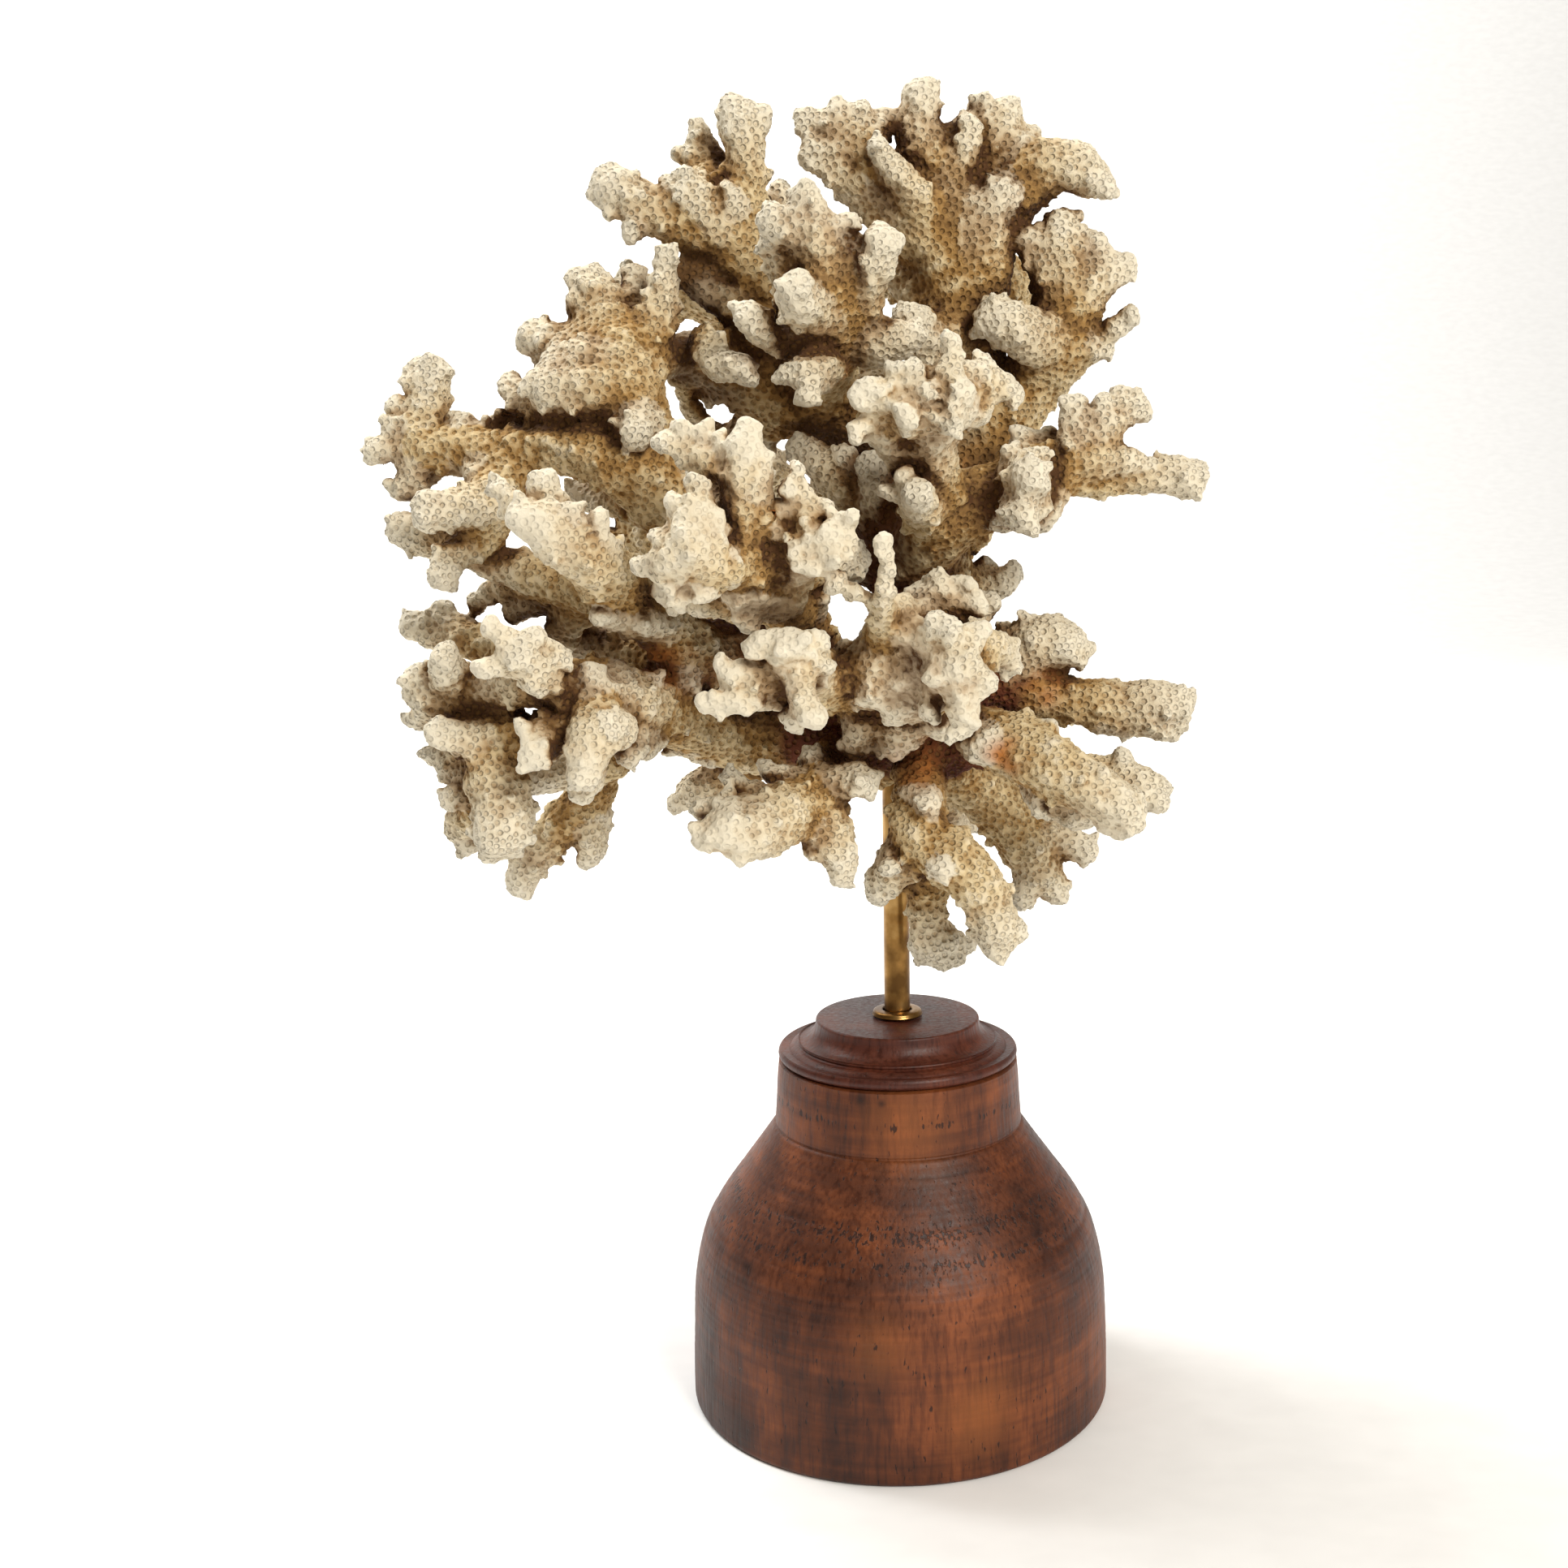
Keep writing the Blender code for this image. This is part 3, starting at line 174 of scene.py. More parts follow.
boughs["crown_left_bough"] = [
    [(8, 176, 6, 7), (0, 186, 8, 6), (-11, 190.5, 8, 6), (-21, 192.6, 6, 6.2),
     (-30, 198, 3, 5), (-37, 201, 0, 3.6)],
    [(-21, 194, 6, 5), (-22, 204, 2, 5), (-21, 212, -2, 4.8),
     (-26, 218.4, -4, 4.8), (-27, 226, -5, 4.4), (-26, 233, -5, 3.4),
     (-26.5, 240.5, -5, 4.1), (-28, 244, -5, 2.8)],
    [(-26.5, 241, -5, 4), (-23.2, 242.5, -5, 2.4)],
    [(-27, 228, -5, 4), (-32.6, 232, 0, 4), (-33.8, 237, 2, 3.3), (-34.6, 241, 2, 1.9)],
    [(-33, 235, 1, 3), (-37.8, 236.6, 1, 1.3)],
    [(-34, 231, -1, 3), (-38, 232, -2, 1.6)],
    [(-30, 223, -6, 3.6), (-34.6, 228.6, -8, 3.2), (-37, 229.8, -9, 2)],
    [(-28, 227, -8, 3), (-29.5, 230.4, -9, 1.4)],
    [(-24, 206, -2, 4.6), (-32, 212, -4, 3.6), (-38, 215.4, -5, 2.2)],
    [(-29, 221, -4, 4), (-36, 223.6, -5, 4.2), (-44, 227.2, -6, 4.2),
     (-50, 230.4, -6, 4.4)],
    [(-45, 225, -6, 3), (-47, 223.5, -9, 2)],
    [(-34, 229, -4, 3.5), (-37.5, 231, -7, 2.8)],
    [(-22, 216, 0, 3.5), (-19.5, 225, 4, 3), (-20, 230, 5, 2)],
    [(-28, 198, 2, 4.5), (-34, 203, -9, 3.4), (-31, 199, -18, 3),
     (-27, 198.5, -20, 2.4)],
    [(-37, 201, 0, 3.4), (-38, 195, 4, 1.7), (-36, 190, 8, 1.7),
     (-31, 186, 10, 2.6), (-25, 187, 10, 4)],
    [(-30, 197, 3, 4.4), (-33.5, 194, 5, 1.4)],
]
boughs["upper_right_bough"] = [
    [(9, 172, 3, 7), (14, 182, 5, 6.5), (20, 189, 6, 6.5), (26.5, 196.4, 6, 5.8),
     (31.6, 202.6, 5, 6), (32, 210, 3, 5.4), (31, 217, 2, 4.5), (31, 223.5, 2, 2.8)],
    [(30.4, 213, 3, 4.5), (24.6, 221.4, 2, 2.3)],
    [(33, 210, 3, 5), (37, 215.5, 2, 3.6), (37, 219.5, 2, 2.8)],
    [(34, 210.6, 3, 4.8), (39, 214.3, 2, 2.9), (42.3, 215.6, 2, 2.7)],
    [(32, 202.6, 4, 4.6), (38, 203.2, 2, 2), (43.3, 206.8, 1, 2)],
    [(36, 203, 2, 2.4), (39.3, 201.6, 2, 1.7)],
    [(29, 202, 2, 5), (24, 204.5, -4, 4.6), (19, 207, -5, 4)],
]
boughs["crown_right_bough"] = [
    [(18, 188, 8, 6), (15, 198, 8, 6), (14, 208, 6, 6.4), (15, 217, 5, 6),
     (14, 226, 5, 5)],
    [(13, 219, 4, 4.6), (4, 227, 3, 4), (-2, 234, 2, 3.6), (-8, 239.5, 2, 3.2),
     (-13.6, 241.4, 2, 2.8)],
    [(-8, 240, 2, 2.6), (-9.5, 244.2, 1, 1.8)],
    [(-5, 237, 3, 3), (-1, 242, 4, 2.2)],
    [(-6, 239, 3, 3), (-5.4, 243.2, 2, 2.3)],
    [(-4, 236, 2, 2.5), (-14, 237.5, 0, 1.9)],
    [(-5, 231, 3, 3), (-14.8, 235.6, 1, 1.9)],
    [(12, 226, 5, 4.6), (8, 233, 4, 4), (5.5, 239, 3, 4), (6, 246, 3, 3.5)],
    [(8, 237, 4, 3), (13.6, 240.4, 5, 2.1)],
    [(13, 230, 6, 4), (12.6, 236, 6, 2.8)],
    [(15, 226, 6, 5), (18, 235, 7, 4.3), (19.5, 240, 7, 4.3),
     (17.5, 242.8, 7, 2.6)],
    [(19.5, 240, 7, 4), (21.4, 243.2, 7, 2.5)],
    [(20, 237.6, 7, 3), (26, 239.5, 8, 1.7)],
    [(15, 220, 5, 5), (22.4, 228, 6, 4.8), (28.4, 233.4, 4, 4.9),
     (34.5, 232.8, 3, 4.2), (38.4, 230.4, 2, 2.8)],
    [(14, 210, 5, 6), (6, 213, 10, 5), (0, 218, 14, 4)],
    [(12, 216, 6, 5), (4, 222, 6, 4.4), (-3.4, 228, 5, 4), (-9, 233.4, 3, 2.8)],
    [(14, 206, 6, 6), (8, 203, 0, 5), (3.5, 206, -6, 4)],
    [(6, 227, 0, 3.6), (2, 232, -3, 3), (-2.4, 237.4, -4, 2)],
    [(-9, 239, 2, 2.6), (-15.4, 242.4, 2, 1.7)],
    [(12, 232, 3, 3.6), (14.2, 238, 1, 2.2), (14.3, 241.4, 1, 1.4)],
    [(19, 236, 7, 3.6), (16.4, 244, 7, 1.8)],
    [(17, 216, 3, 5), (17, 224, 1, 4.4), (20, 229, 0, 3.4)],
    [(16, 221, 5, 5), (21, 230, 6, 4.8), (24, 236, 6, 3)],
    [(13, 222, 4, 5), (9.6, 230, 4, 4.6), (10.6, 235.6, 4, 3)],
    [(12, 215, 4, 5), (3, 226, 3, 4), (-3, 231.6, 3, 3.4)],
]
boughs["crown_front_bough"] = [
    [(-13, 193, 6, 5.5), (-12, 201, -8, 5.5), (-9, 207, -18, 5.5),
     (-11, 214, -24, 5), (-13, 221, -26, 4.4), (-15.5, 228.5, -27, 2.8)],
    [(-13, 221, -26, 4), (-21, 224.8, -27, 3)],
    [(-12, 221, -26, 3.5), (-7.5, 224.3, -27, 2)],
    [(-8, 208, -18, 4.5), (-4, 214, -24, 3.5), (-1.5, 220.5, -28, 3.4)],
    [(-10, 205, -18, 5), (-16, 210, -28, 4.4), (-17, 212.5, -31, 3.4)],
    [(-12, 203, -15, 4.6), (-21.5, 204, -22, 3), (-25.8, 208, -26, 2.8)],
    [(-11, 201, -12, 5), (-14, 198, -24, 4), (-15, 195.5, -28, 3),
     (-15.5, 193.4, -30, 2.2)],
    [(-14, 198, -24, 3.5), (-18.3, 197.5, -27, 2.3)],
    [(-9, 205, -15, 5), (-2, 203, -18, 4.8), (3.5, 204, -18, 2.6)],
    [(-11, 206, -17, 5), (-17, 213.4, -20, 4.6), (-20.4, 220.6, -23, 3.2)],
    [(-9, 207, -18, 5), (-6.4, 213, -21, 4.4), (-8, 218.6, -24, 3.6)],
]
boughs["right_arm"] = [
    [(4, 164, -2, 7), (9.5, 170.6, -10, 7), (17, 174.6, -12, 6.2),
     (24, 177, -12, 5.4), (30, 180, -12, 5.1), (36, 182.2, -13, 4.6),
     (39.6, 181.6, -13, 3.6), (43.5, 181.4, -13, 2.4), (47.5, 180.6, -12, 1.6)],
    [(30, 180, -12, 4), (36, 178, -10, 3.3), (44, 178.1, -10, 3.2),
     (51, 178.5, -10, 3.6), (54.6, 178, -10, 3.8)],
    [(34, 182, -13, 4.4), (34, 188, -14, 3.2), (33.6, 191, -14, 2.6)],
    [(37, 183, -13, 4), (38.5, 188, -14, 3), (39, 191, -14, 2.3)],
    [(38.6, 185, -13, 3.4), (42, 190.3, -12, 3.3), (44.6, 191.4, -12, 2.8)],
    [(42.5, 190, -12, 2.6), (42, 193, -12, 1.7)],
    [(24, 177, -12, 5), (24.5, 173, -20, 4), (24, 171.8, -24, 3.4)],
    [(29, 178, -12, 4), (28.5, 173, -14, 3.1), (28, 171, -14, 2.7)],
    [(20, 175, -12, 4), (20.5, 171, -16, 3.2)],
    [(24, 177, -12, 5), (25, 177.6, -20, 4.6), (25.6, 178, -25, 3.6)],
    [(25, 179.6, -20, 3.6), (27.6, 182.6, -20, 2)],
    [(22, 179, -17, 3), (22.2, 182.4, -18, 1.5)],
    [(24, 173, -20, 3.8), (21.6, 171.8, -22, 2.4)],
    [(28, 181, -11, 3), (28.5, 185.5, -9, 2)],
    [(24, 180, -11, 4), (24.5, 185, -8, 2.6)],
    [(7, 171, -12, 5), (5, 174, -26, 3.6), (4.4, 175.4, -34, 2.9)],
    [(4, 175.6, -31, 2.6), (2.4, 178.4, -32, 1.4)],
    [(3, 175, -30, 2.2), (-1.4, 176.2, -30, 1.2)],
    [(6, 168, -2, 6), (-4, 173, 0, 5), (-9, 177, 0, 4.4), (-13, 181, 0, 3.4),
     (-16.6, 183.8, 0, 2.6)],
    [(-6, 175, 0, 4), (-8.5, 182.5, -2, 2.2)],
    [(-2, 173, -2, 4.4), (-4, 180.5, -6, 3)],
]
boughs["front_right_bough"] = [
    [(9, 172, -12, 5.4), (8, 178, -20, 5), (7, 183.5, -27, 4.8), (7.5, 189, -32, 4.6)],
    [(6, 182, -24, 4.4), (1, 184.5, -28, 3.8), (-3, 187, -31, 2.8)],
    [(8, 189, -31, 4.6), (3, 191, -33, 4), (-2, 192, -35, 3), (-5.8, 192.6, -37, 1.7)],
    [(-2, 192.5, -36, 2.6), (-4, 195.4, -37, 1.5)],
    [(-2, 190, -33, 3), (-6.4, 187.6, -35, 1.5)],
    [(1, 193, -35, 3), (1.2, 197.4, -36, 1.6)],
    [(4, 194, -35, 3.4), (5, 197.3, -37, 2)],
    [(4, 190.6, -35, 3.6), (2.8, 189.8, -38.5, 2.6)],
    [(8, 190, -35, 3.8), (11, 188.4, -38, 2.4)],
    [(9, 191, -34, 4.2), (12.6, 193.6, -38, 2.5)],
    [(9, 192, -34, 4.4), (10.4, 197, -37, 3), (11, 201.5, -37, 1.6), (11, 203, -37, 1)],
    [(5, 193, -35, 3), (6.6, 194, -38.5, 2.2)],
    [(11, 192, -31, 4.4), (16.5, 195, -29, 3.9), (20.5, 194.7, -27, 2.8), (23, 193.2, -26, 1.5)],
    [(15, 197, -30, 2.6), (17.6, 199, -29, 1.4)],
    [(-3, 190.4, -31, 3.6), (5, 190, -33, 4.6), (12, 191.4, -33, 4)],
    [(2, 195, -32, 3), (9, 195.4, -33, 3.6), (15.5, 196, -30, 3.2)],
    [(13, 190, -31, 3), (16, 189.5, -29, 2)],
]
boughs["long_right_finger"] = [
    [(6, 140, -4, 7), (14, 140, -6, 6), (20, 140, -6, 5), (27, 138.5, -6, 4.8),
     (34, 136.8, -6, 4.5), (42, 135.3, -6, 4.7), (49, 135.3, -6, 5.1),
     (51.8, 135, -6, 4.9)],
    [(49, 133, -6, 4), (52.3, 130.8, -6, 2.3)],
    [(40, 134, -6, 4), (43.5, 131.8, -6, 2.4)],
    [(18, 142, -6, 5), (24, 145.2, -8, 5.2), (28.6, 147.9, -9, 4.9),
     (31.6, 147.3, -9, 4.7)],
    [(25, 148, -8, 3.6), (25.5, 151.2, -8, 2.2)],
    [(22, 145, -7, 3.6), (21, 149.8, -4, 1.9)],
    [(32, 147.5, -9, 4), (34.8, 145.8, -9, 2.3)],
]
boughs["lower_right_bough"] = [
    [(8, 127, 6, 7), (14, 121.8, 10, 5.7), (20, 116.6, 12, 5.6), (24.6, 109.8, 12, 5.6),
     (26.6, 105.4, 11, 4.5), (25.4, 101, 10, 3), (24.3, 98.3, 10, 2.4)],
    [(27.4, 105, 11, 4.2), (29.8, 101, 10, 2.6), (31, 99.2, 10, 2.2)],
    [(25, 110, 12, 5), (31, 110, 11, 3.3), (36, 108.1, 10, 3)],
]
boughs["lower_right_front_bough"] = [
    [(8, 129, -4, 7), (16, 130, -14, 5.4), (23, 128, -22, 6.2),
     (30, 123.8, -27, 5.9), (37, 119.8, -30, 5.1), (42.5, 116.4, -32, 4.6),
     (44.2, 113.8, -32, 3.6)],
    [(27, 128.5, -22, 4), (28.5, 130.8, -22, 2.2)],
    [(16, 130, -18, 4.5), (18, 128.5, -24, 3.8)],
    [(27, 120.5, -24, 3.4), (27.5, 116, -26, 1.9)],
    [(42, 115, -31, 3.6), (41.2, 112.6, -31, 2.3)],
    [(30, 122, -14, 5), (40, 121.5, -16, 4.2), (46, 120.5, -18, 4),
     (49.2, 118.5, -18, 3.7)],
    [(43, 122.5, -17, 3), (43.5, 125, -17, 1.9)],
    [(29, 119.5, -16, 4.6), (34.5, 115.5, -16, 3.5), (37.3, 114.2, -17, 2)],
]
boughs["hanging_bough"] = [
    [(5, 130, -6, 6.4), (5, 124, -12, 5), (4.5, 117, -17, 5),
     (5, 111, -20, 5.8), (10, 107, -23, 5.5), (14.5, 103, -24, 5.4),
     (17.5, 97.5, -24, 4.6), (19.4, 92.5, -24, 4.7), (19.4, 88.8, -24, 3)],
    [(20, 92, -24, 3.4), (22.8, 92.5, -24, 2.3)],
    [(5, 111, -20, 5.5), (2, 106, -18, 4.4), (-2.6, 102.8, -16, 3.3),
     (-3.4, 99.8, -16, 2.4)],
    [(-0.5, 107, -19, 3.4), (-1.5, 104.8, -24, 1.7)],
    [(5, 108, -14, 5), (6, 101, -11, 4.2), (6, 94, -10, 3.6),
     (7, 89.5, -10, 3.8), (9, 87, -10, 3)],
    [(6, 92, -10, 3), (4.5, 89.2, -10, 2)],
    [(8, 90.5, -10, 3.2), (13.2, 89.2, -10, 1.8)],
    [(10, 87.5, -10, 2.6), (11.4, 86.8, -10, 2.1)],
    [(8, 106.5, -23, 3.6), (9.2, 104.8, -27, 2.8)],
    [(4, 118, -18, 3.8), (6.5, 117, -23, 2.6)],
]
boughs["front_centre_bough"] = [
    [(4, 138, -4, 8), (6, 139, -20, 6.5), (10, 142, -34, 5.6), (11.6, 143.4, -43, 4.2)],
    [(12, 146, -42, 4), (10.5, 150, -45, 2.7)],
    [(10, 149, -44, 2.4), (7.8, 151, -44, 1.5)],
    [(12, 146, -42, 4), (16.4, 150, -43, 2.1)],
    [(13, 143, -43, 4), (17.2, 139.9, -43, 2.2)],
    [(12, 141, -42, 4), (13.2, 135.4, -42, 2.9), (12.4, 131.4, -41, 2.3)],
    [(13, 134, -42, 2.4), (14.5, 132.6, -42, 1.5)],
    [(10, 143, -42, 3.8), (7.8, 141.4, -44, 2)],
    [(9, 145, -40, 3), (6.6, 147.4, -41, 1.8)],
    [(15, 146, -37, 4), (20, 146.8, -30, 3.2), (21.5, 143.8, -26, 2.6)],
    [(6, 138, -30, 3), (6.4, 135.4, -38, 1.9)],
    [(4, 139, -22, 5), (-1.5, 139, -33, 3)],
    [(-1, 139, -24, 4), (-6.6, 137.6, -28, 2.2)],
    [(0, 142, -22, 5), (-4, 144.5, -30, 3), (-6.4, 145.6, -31, 1.6)],
    [(-1, 145, -26, 4.4), (-4.5, 148.5, -32, 2)],
    [(3, 143, -20, 6), (-1, 148, -32, 4.4), (-1.8, 153.5, -42, 2.4),
     (-1.5, 160, -46, 1.6), (-1.4, 164, -48, 1.4), (-2, 166.6, -49, 1)],
    [(-2.2, 154.4, -42, 1.7), (-7, 157.3, -44, 1.2), (-11, 159.5, -45, 0.9)],
    [(4, 147, -18, 6), (6, 150, -27, 4.6), (9, 156, -32, 3.6), (8, 159.4, -32, 1.9)],
    [(2, 149, -26, 4.2), (4, 153, -31, 2.8), (5.5, 156.5, -32, 2.2)],
    [(-0.5, 151, -38, 3), (3.6, 149.6, -39, 3), (8, 147.5, -41, 3.4)],
    [(0, 154.5, -38, 2.4), (3.6, 153.6, -36, 2.6), (7, 153, -33, 3)],
    [(1, 146, -33, 4.6), (5, 144.5, -36, 4), (9, 143, -39, 4)],
    [(2, 141, -27, 6), (-2.5, 143.6, -33, 4.6), (-6.4, 143.4, -33, 3.4)],
    [(0, 140, -30, 4.6), (-4.6, 139.4, -33, 3.6)],
    [(4, 138, -29, 5), (1, 136, -32, 3.6)],
    [(3, 141, -32, 4), (1.4, 140.4, -35.4, 2)],
    [(3, 143, -34, 4), (6.6, 139.4, -36, 3.8)],
    [(9, 156, -32, 3.2), (12.8, 158.4, -33, 2)],
    [(9.5, 155, -32, 3.4), (15, 155.2, -34, 1.8)],
    [(9, 152, -10, 5), (16, 153.5, -8, 2.8), (17.6, 155, -8, 2.2)],
    [(1, 137, -16, 7), (1, 133, -20, 5.6), (0, 129.6, -20, 4)],
    [(-2, 136, -18, 5), (-6, 132.6, -21, 4), (-6.4, 129.4, -20, 3.2)],
    [(5, 136, -22, 5), (8.5, 132.8, -25, 3.6)],
    [(3, 139, -28, 4.6), (7.4, 138.6, -33, 3.8)],
    [(0, 138, -29, 4), (3, 137.4, -33, 2.8)],
]
boughs["star_bough"] = [
    [(-3, 137, -4, 7), (-8, 139, -18, 5.4), (-14, 142, -34, 5), (-19, 145, -45, 4.6)],
    [(-19, 145, -44, 4.4), (-19.5, 147.6, -49, 3.4)],
    [(-20, 147, -47, 3.6), (-24, 148, -48, 2.6), (-26.8, 147, -48, 1.8)],
    [(-17, 147, -46, 3.6), (-13.6, 148.3, -46, 1.7)],
    [(-17, 145, -46, 3.6), (-13, 143.2, -46, 1.5)],
    [(-18, 143, -46, 3.4), (-17.5, 138, -48, 2.8), (-16, 134.6, -49, 2.9), (-14.6, 133.6, -48, 1.9)],
    [(-17, 136, -46, 2.8), (-19, 133.6, -45, 2.2)],
    [(-20, 142, -43, 3.8), (-26, 141.5, -45, 3), (-31, 142.6, -46, 2.2)],
    [(-31, 142.8, -46, 1.8), (-32.4, 144, -46, 1.1)],
    [(-24, 139.6, -43, 3.2), (-30, 137.6, -46, 2.5), (-35.6, 137.2, -46, 1.6)],
    [(-31, 136.5, -45, 1.8), (-33, 135.2, -45, 1.2)],
    [(-24, 139, -43, 2.6), (-26, 136.9, -46, 1.8)],
    [(-19, 142, -43, 4.2), (-24, 141, -43, 4), (-29.6, 140.2, -44, 3.2)],
    [(-22, 139, -42, 3.4), (-27, 138.6, -42, 3)],
    [(-9, 141, -20, 5), (-8.5, 145, -27, 3.2)],
]
boughs["lower_front_bough"] = [
    [(-3, 130, -3, 6), (-12, 125.5, -10, 5), (-15, 119, -20, 5.4),
     (-13, 112, -24, 4.6), (-10.6, 106, -25, 3.2), (-10.6, 102.9, -25, 2.2)],
    [(-14, 120, -20, 4.6), (-8, 122, -24, 3.2), (-5.6, 121.5, -25, 2.7)],
    [(-15, 118, -22, 5), (-22, 115, -28, 6.4), (-28, 112.6, -32, 6.3),
     (-31.5, 113, -34, 4.8)],
    [(-32, 112, -34, 4.4), (-36.2, 111.6, -34, 2.6)],
    [(-26, 112, -33, 4), (-30.4, 109, -34, 2.8)],
    [(-23, 117, -26, 4), (-29, 120.5, -28, 2), (-31.3, 122.5, -28, 1.3)],
    [(-30, 116, -31, 3), (-37.2, 116.7, -31, 1.5)],
    [(-17, 120, -20, 4.4), (-24, 123.5, -22, 2)],
    [(-13, 124, -13, 4), (-15.6, 125.6, -18, 2.5)],
    [(-15, 113, -25, 3.6), (-16, 108.8, -25, 2)],
]
boughs["lower_left_bough"] = [
    [(-16, 131.5, 0, 6.2), (-26, 129, 0, 6), (-36, 132, -6, 5.4),
     (-45, 136, -16, 6.4), (-50, 137, -24, 6.4), (-56, 138, -30, 5)],
    [(-50, 132.5, -22, 5.4), (-47.6, 129.5, -22, 3.4)],
    [(-56, 138, -30, 4.8), (-57, 131, -36, 5), (-59, 125, -38, 3.8),
     (-59.5, 122.8, -38, 3)],
    [(-53, 132, -34, 4.2), (-54.3, 132.6, -37.5, 2.8)],
    [(-58, 124, -34, 3.2), (-59.6, 120, -34, 2.4)],
    [(-57, 139, -32, 4.2), (-56.5, 141.6, -32, 2.7)],
    [(-52, 139, -28, 4.4), (-52.2, 143, -26, 2.2)],
    [(-46, 138, -20, 4), (-46, 141.2, -24, 1.9)],
    [(-50, 130.5, -26, 4), (-51, 127, -28, 2.3)],
    [(-47, 134, -12, 5), (-54.4, 126, -4, 3.2), (-58.6, 118.5, 0, 4.4),
     (-63, 114, 0, 4.5), (-68.2, 109.4, 0, 3.7), (-71.2, 104.8, 0, 3.5),
     (-72, 102.8, 0, 2.9)],
    [(-54, 126, -8, 4), (-62, 124.3, -8, 3.8), (-68.5, 122.8, -10, 3.2)],
    [(-58.6, 116, 0, 4), (-56.6, 113.8, 0, 2)],
    [(-59, 113, 0, 4), (-58.4, 108.8, 0, 2.8), (-59.6, 106.6, 0, 1.6)],
    [(-58, 135, -28, 4.4), (-66, 130, -32, 3.6), (-68.3, 127.2, -36, 3.1)],
    [(-66, 131, -32, 2.8), (-69.6, 131.8, -34, 1.6)],
    [(-35, 129, -3, 4.4), (-35, 126, -4, 1.6)],
    [(-26, 127, 4, 5), (-33, 122.4, 6, 4), (-38, 120.2, 6, 3.5),
     (-41.6, 117.6, 6, 1.9)],
    [(-38, 131, -6, 4.6), (-41.5, 129.5, -4, 2.5)],
    [(-26, 133, 0, 5), (-34, 139, 2, 4.8), (-42, 142, 0, 4)],
]
boughs["far_lower_left_bough"] = [
    [(-55, 140, -24, 5.4), (-63, 141, -30, 4.4), (-68, 144.6, -37, 3.9),
     (-70.4, 146.4, -39, 3.3)],
    [(-69.4, 146.6, -38, 3.2), (-67, 150.4, -39, 1.6)],
    [(-71, 147.4, -38, 3), (-75.8, 151.2, -39, 1.4)],
    [(-71, 145.4, -38, 3.2), (-77.2, 143.6, -39, 1.5)],
    [(-66, 146, -36, 3.4), (-62.4, 145.6, -36, 1.6)],
    [(-66, 141, -27, 4.4), (-72, 140.4, -25, 4), (-77, 140, -22, 4)],
    [(-68, 143.4, -36, 3.4), (-66.8, 139.9, -36, 1.7)],
    [(-73, 131, -22, 5), (-77, 135.8, -20, 4.8), (-82, 138, -20, 5),
     (-87.4, 139.2, -20, 4.9), (-89, 141.4, -20, 3.6)],
    [(-82, 140, -20, 4.4), (-84.5, 144, -26, 3.4), (-84.5, 145.5, -28, 3)],
    [(-87, 137, -18, 3.4), (-90.8, 133.8, -16, 1.9)],
    [(-61, 135.5, -24, 4.6), (-67.5, 129.8, -22, 3.8), (-74, 129.5, -22, 5), (-76, 124, -24, 6),
     (-75, 117, -26, 5.8), (-75.3, 112.4, -28, 5.2)],
    [(-76, 111.6, -27, 3.8), (-77.3, 108.6, -27, 2.3)],
    [(-76, 129, -23, 5), (-83, 131, -26, 3.5), (-86.3, 131.5, -27, 2.8)],
    [(-79, 127, -20, 4), (-84, 127.2, -16, 2.6), (-88, 127.4, -14, 2)],
    [(-78, 124, -20, 4.4), (-84.4, 123.8, -16, 2.2)],
    [(-78, 121, -20, 4.4), (-85, 119, -20, 2)],
    [(-78, 117, -18, 4.4), (-83, 114, -10, 3.2), (-82, 110.3, -10, 2.4)],
    [(-66, 142, -24, 4.4), (-74, 147, -10, 3.8), (-81, 149.5, -6, 3.7),
     (-87, 151.4, -4, 3.6), (-90, 152, -4, 2.7)],
    [(-84, 151.5, -5, 3.2), (-84.5, 154.8, -5, 2.1)],
    [(-79, 149.5, -6, 3.2), (-80.6, 151.6, -6, 1.8)],
]
boughs["left_front_bough"] = [
    [(-10, 139, -2, 6.4), (-24, 144, -8, 6), (-38, 147.5, -14, 6),
     (-45, 153, -20, 5.4), (-50, 157, -26, 5.4), (-55, 162.5, -34, 5.8),
     (-61, 167.5, -38, 5.3), (-66, 170.6, -40, 4.3), (-69.2, 171.8, -40, 3.2)],
    [(-60, 169, -38, 3.6), (-60, 172.8, -40, 2.1)],
    [(-53, 163, -35, 3.2), (-54, 168, -38, 1.9), (-54.7, 171.3, -39, 1.5)],
    [(-39, 147, -14, 5.4), (-40, 142.3, -16, 4)],
    [(-38, 146, -10, 5.2), (-47, 145.6, -4, 4.8), (-55, 147.5, -2, 4.2),
     (-61, 148.5, -4, 3.4)],
    [(-47, 153, -24, 4), (-54.5, 153.5, -32, 2.3)],
    [(-40, 151, -16, 5), (-47.5, 152.5, -28, 2.4)],
    [(-50, 158, -24, 5), (-58, 158.5, -18, 4.4), (-66, 161, -14, 4.3),
     (-73, 163, -12, 3.5), (-78.5, 163.8, -12, 1.9)],
    [(-66, 160, -12, 3.6), (-73, 158.9, -6, 2.2), (-78, 156.4, -4, 1.6)],
    [(-64, 158.5, -10, 3.6), (-71, 154.6, -6, 2.4)],
    [(-58, 157, -14, 4.4), (-62, 151.5, -8, 3.4), (-59, 148, -4, 3)],
    [(-63, 171, -37, 4), (-64.6, 177.5, -36, 3.1)],
    [(-69.5, 173, -37, 2.6), (-72.8, 177.6, -34, 1.8)],
]
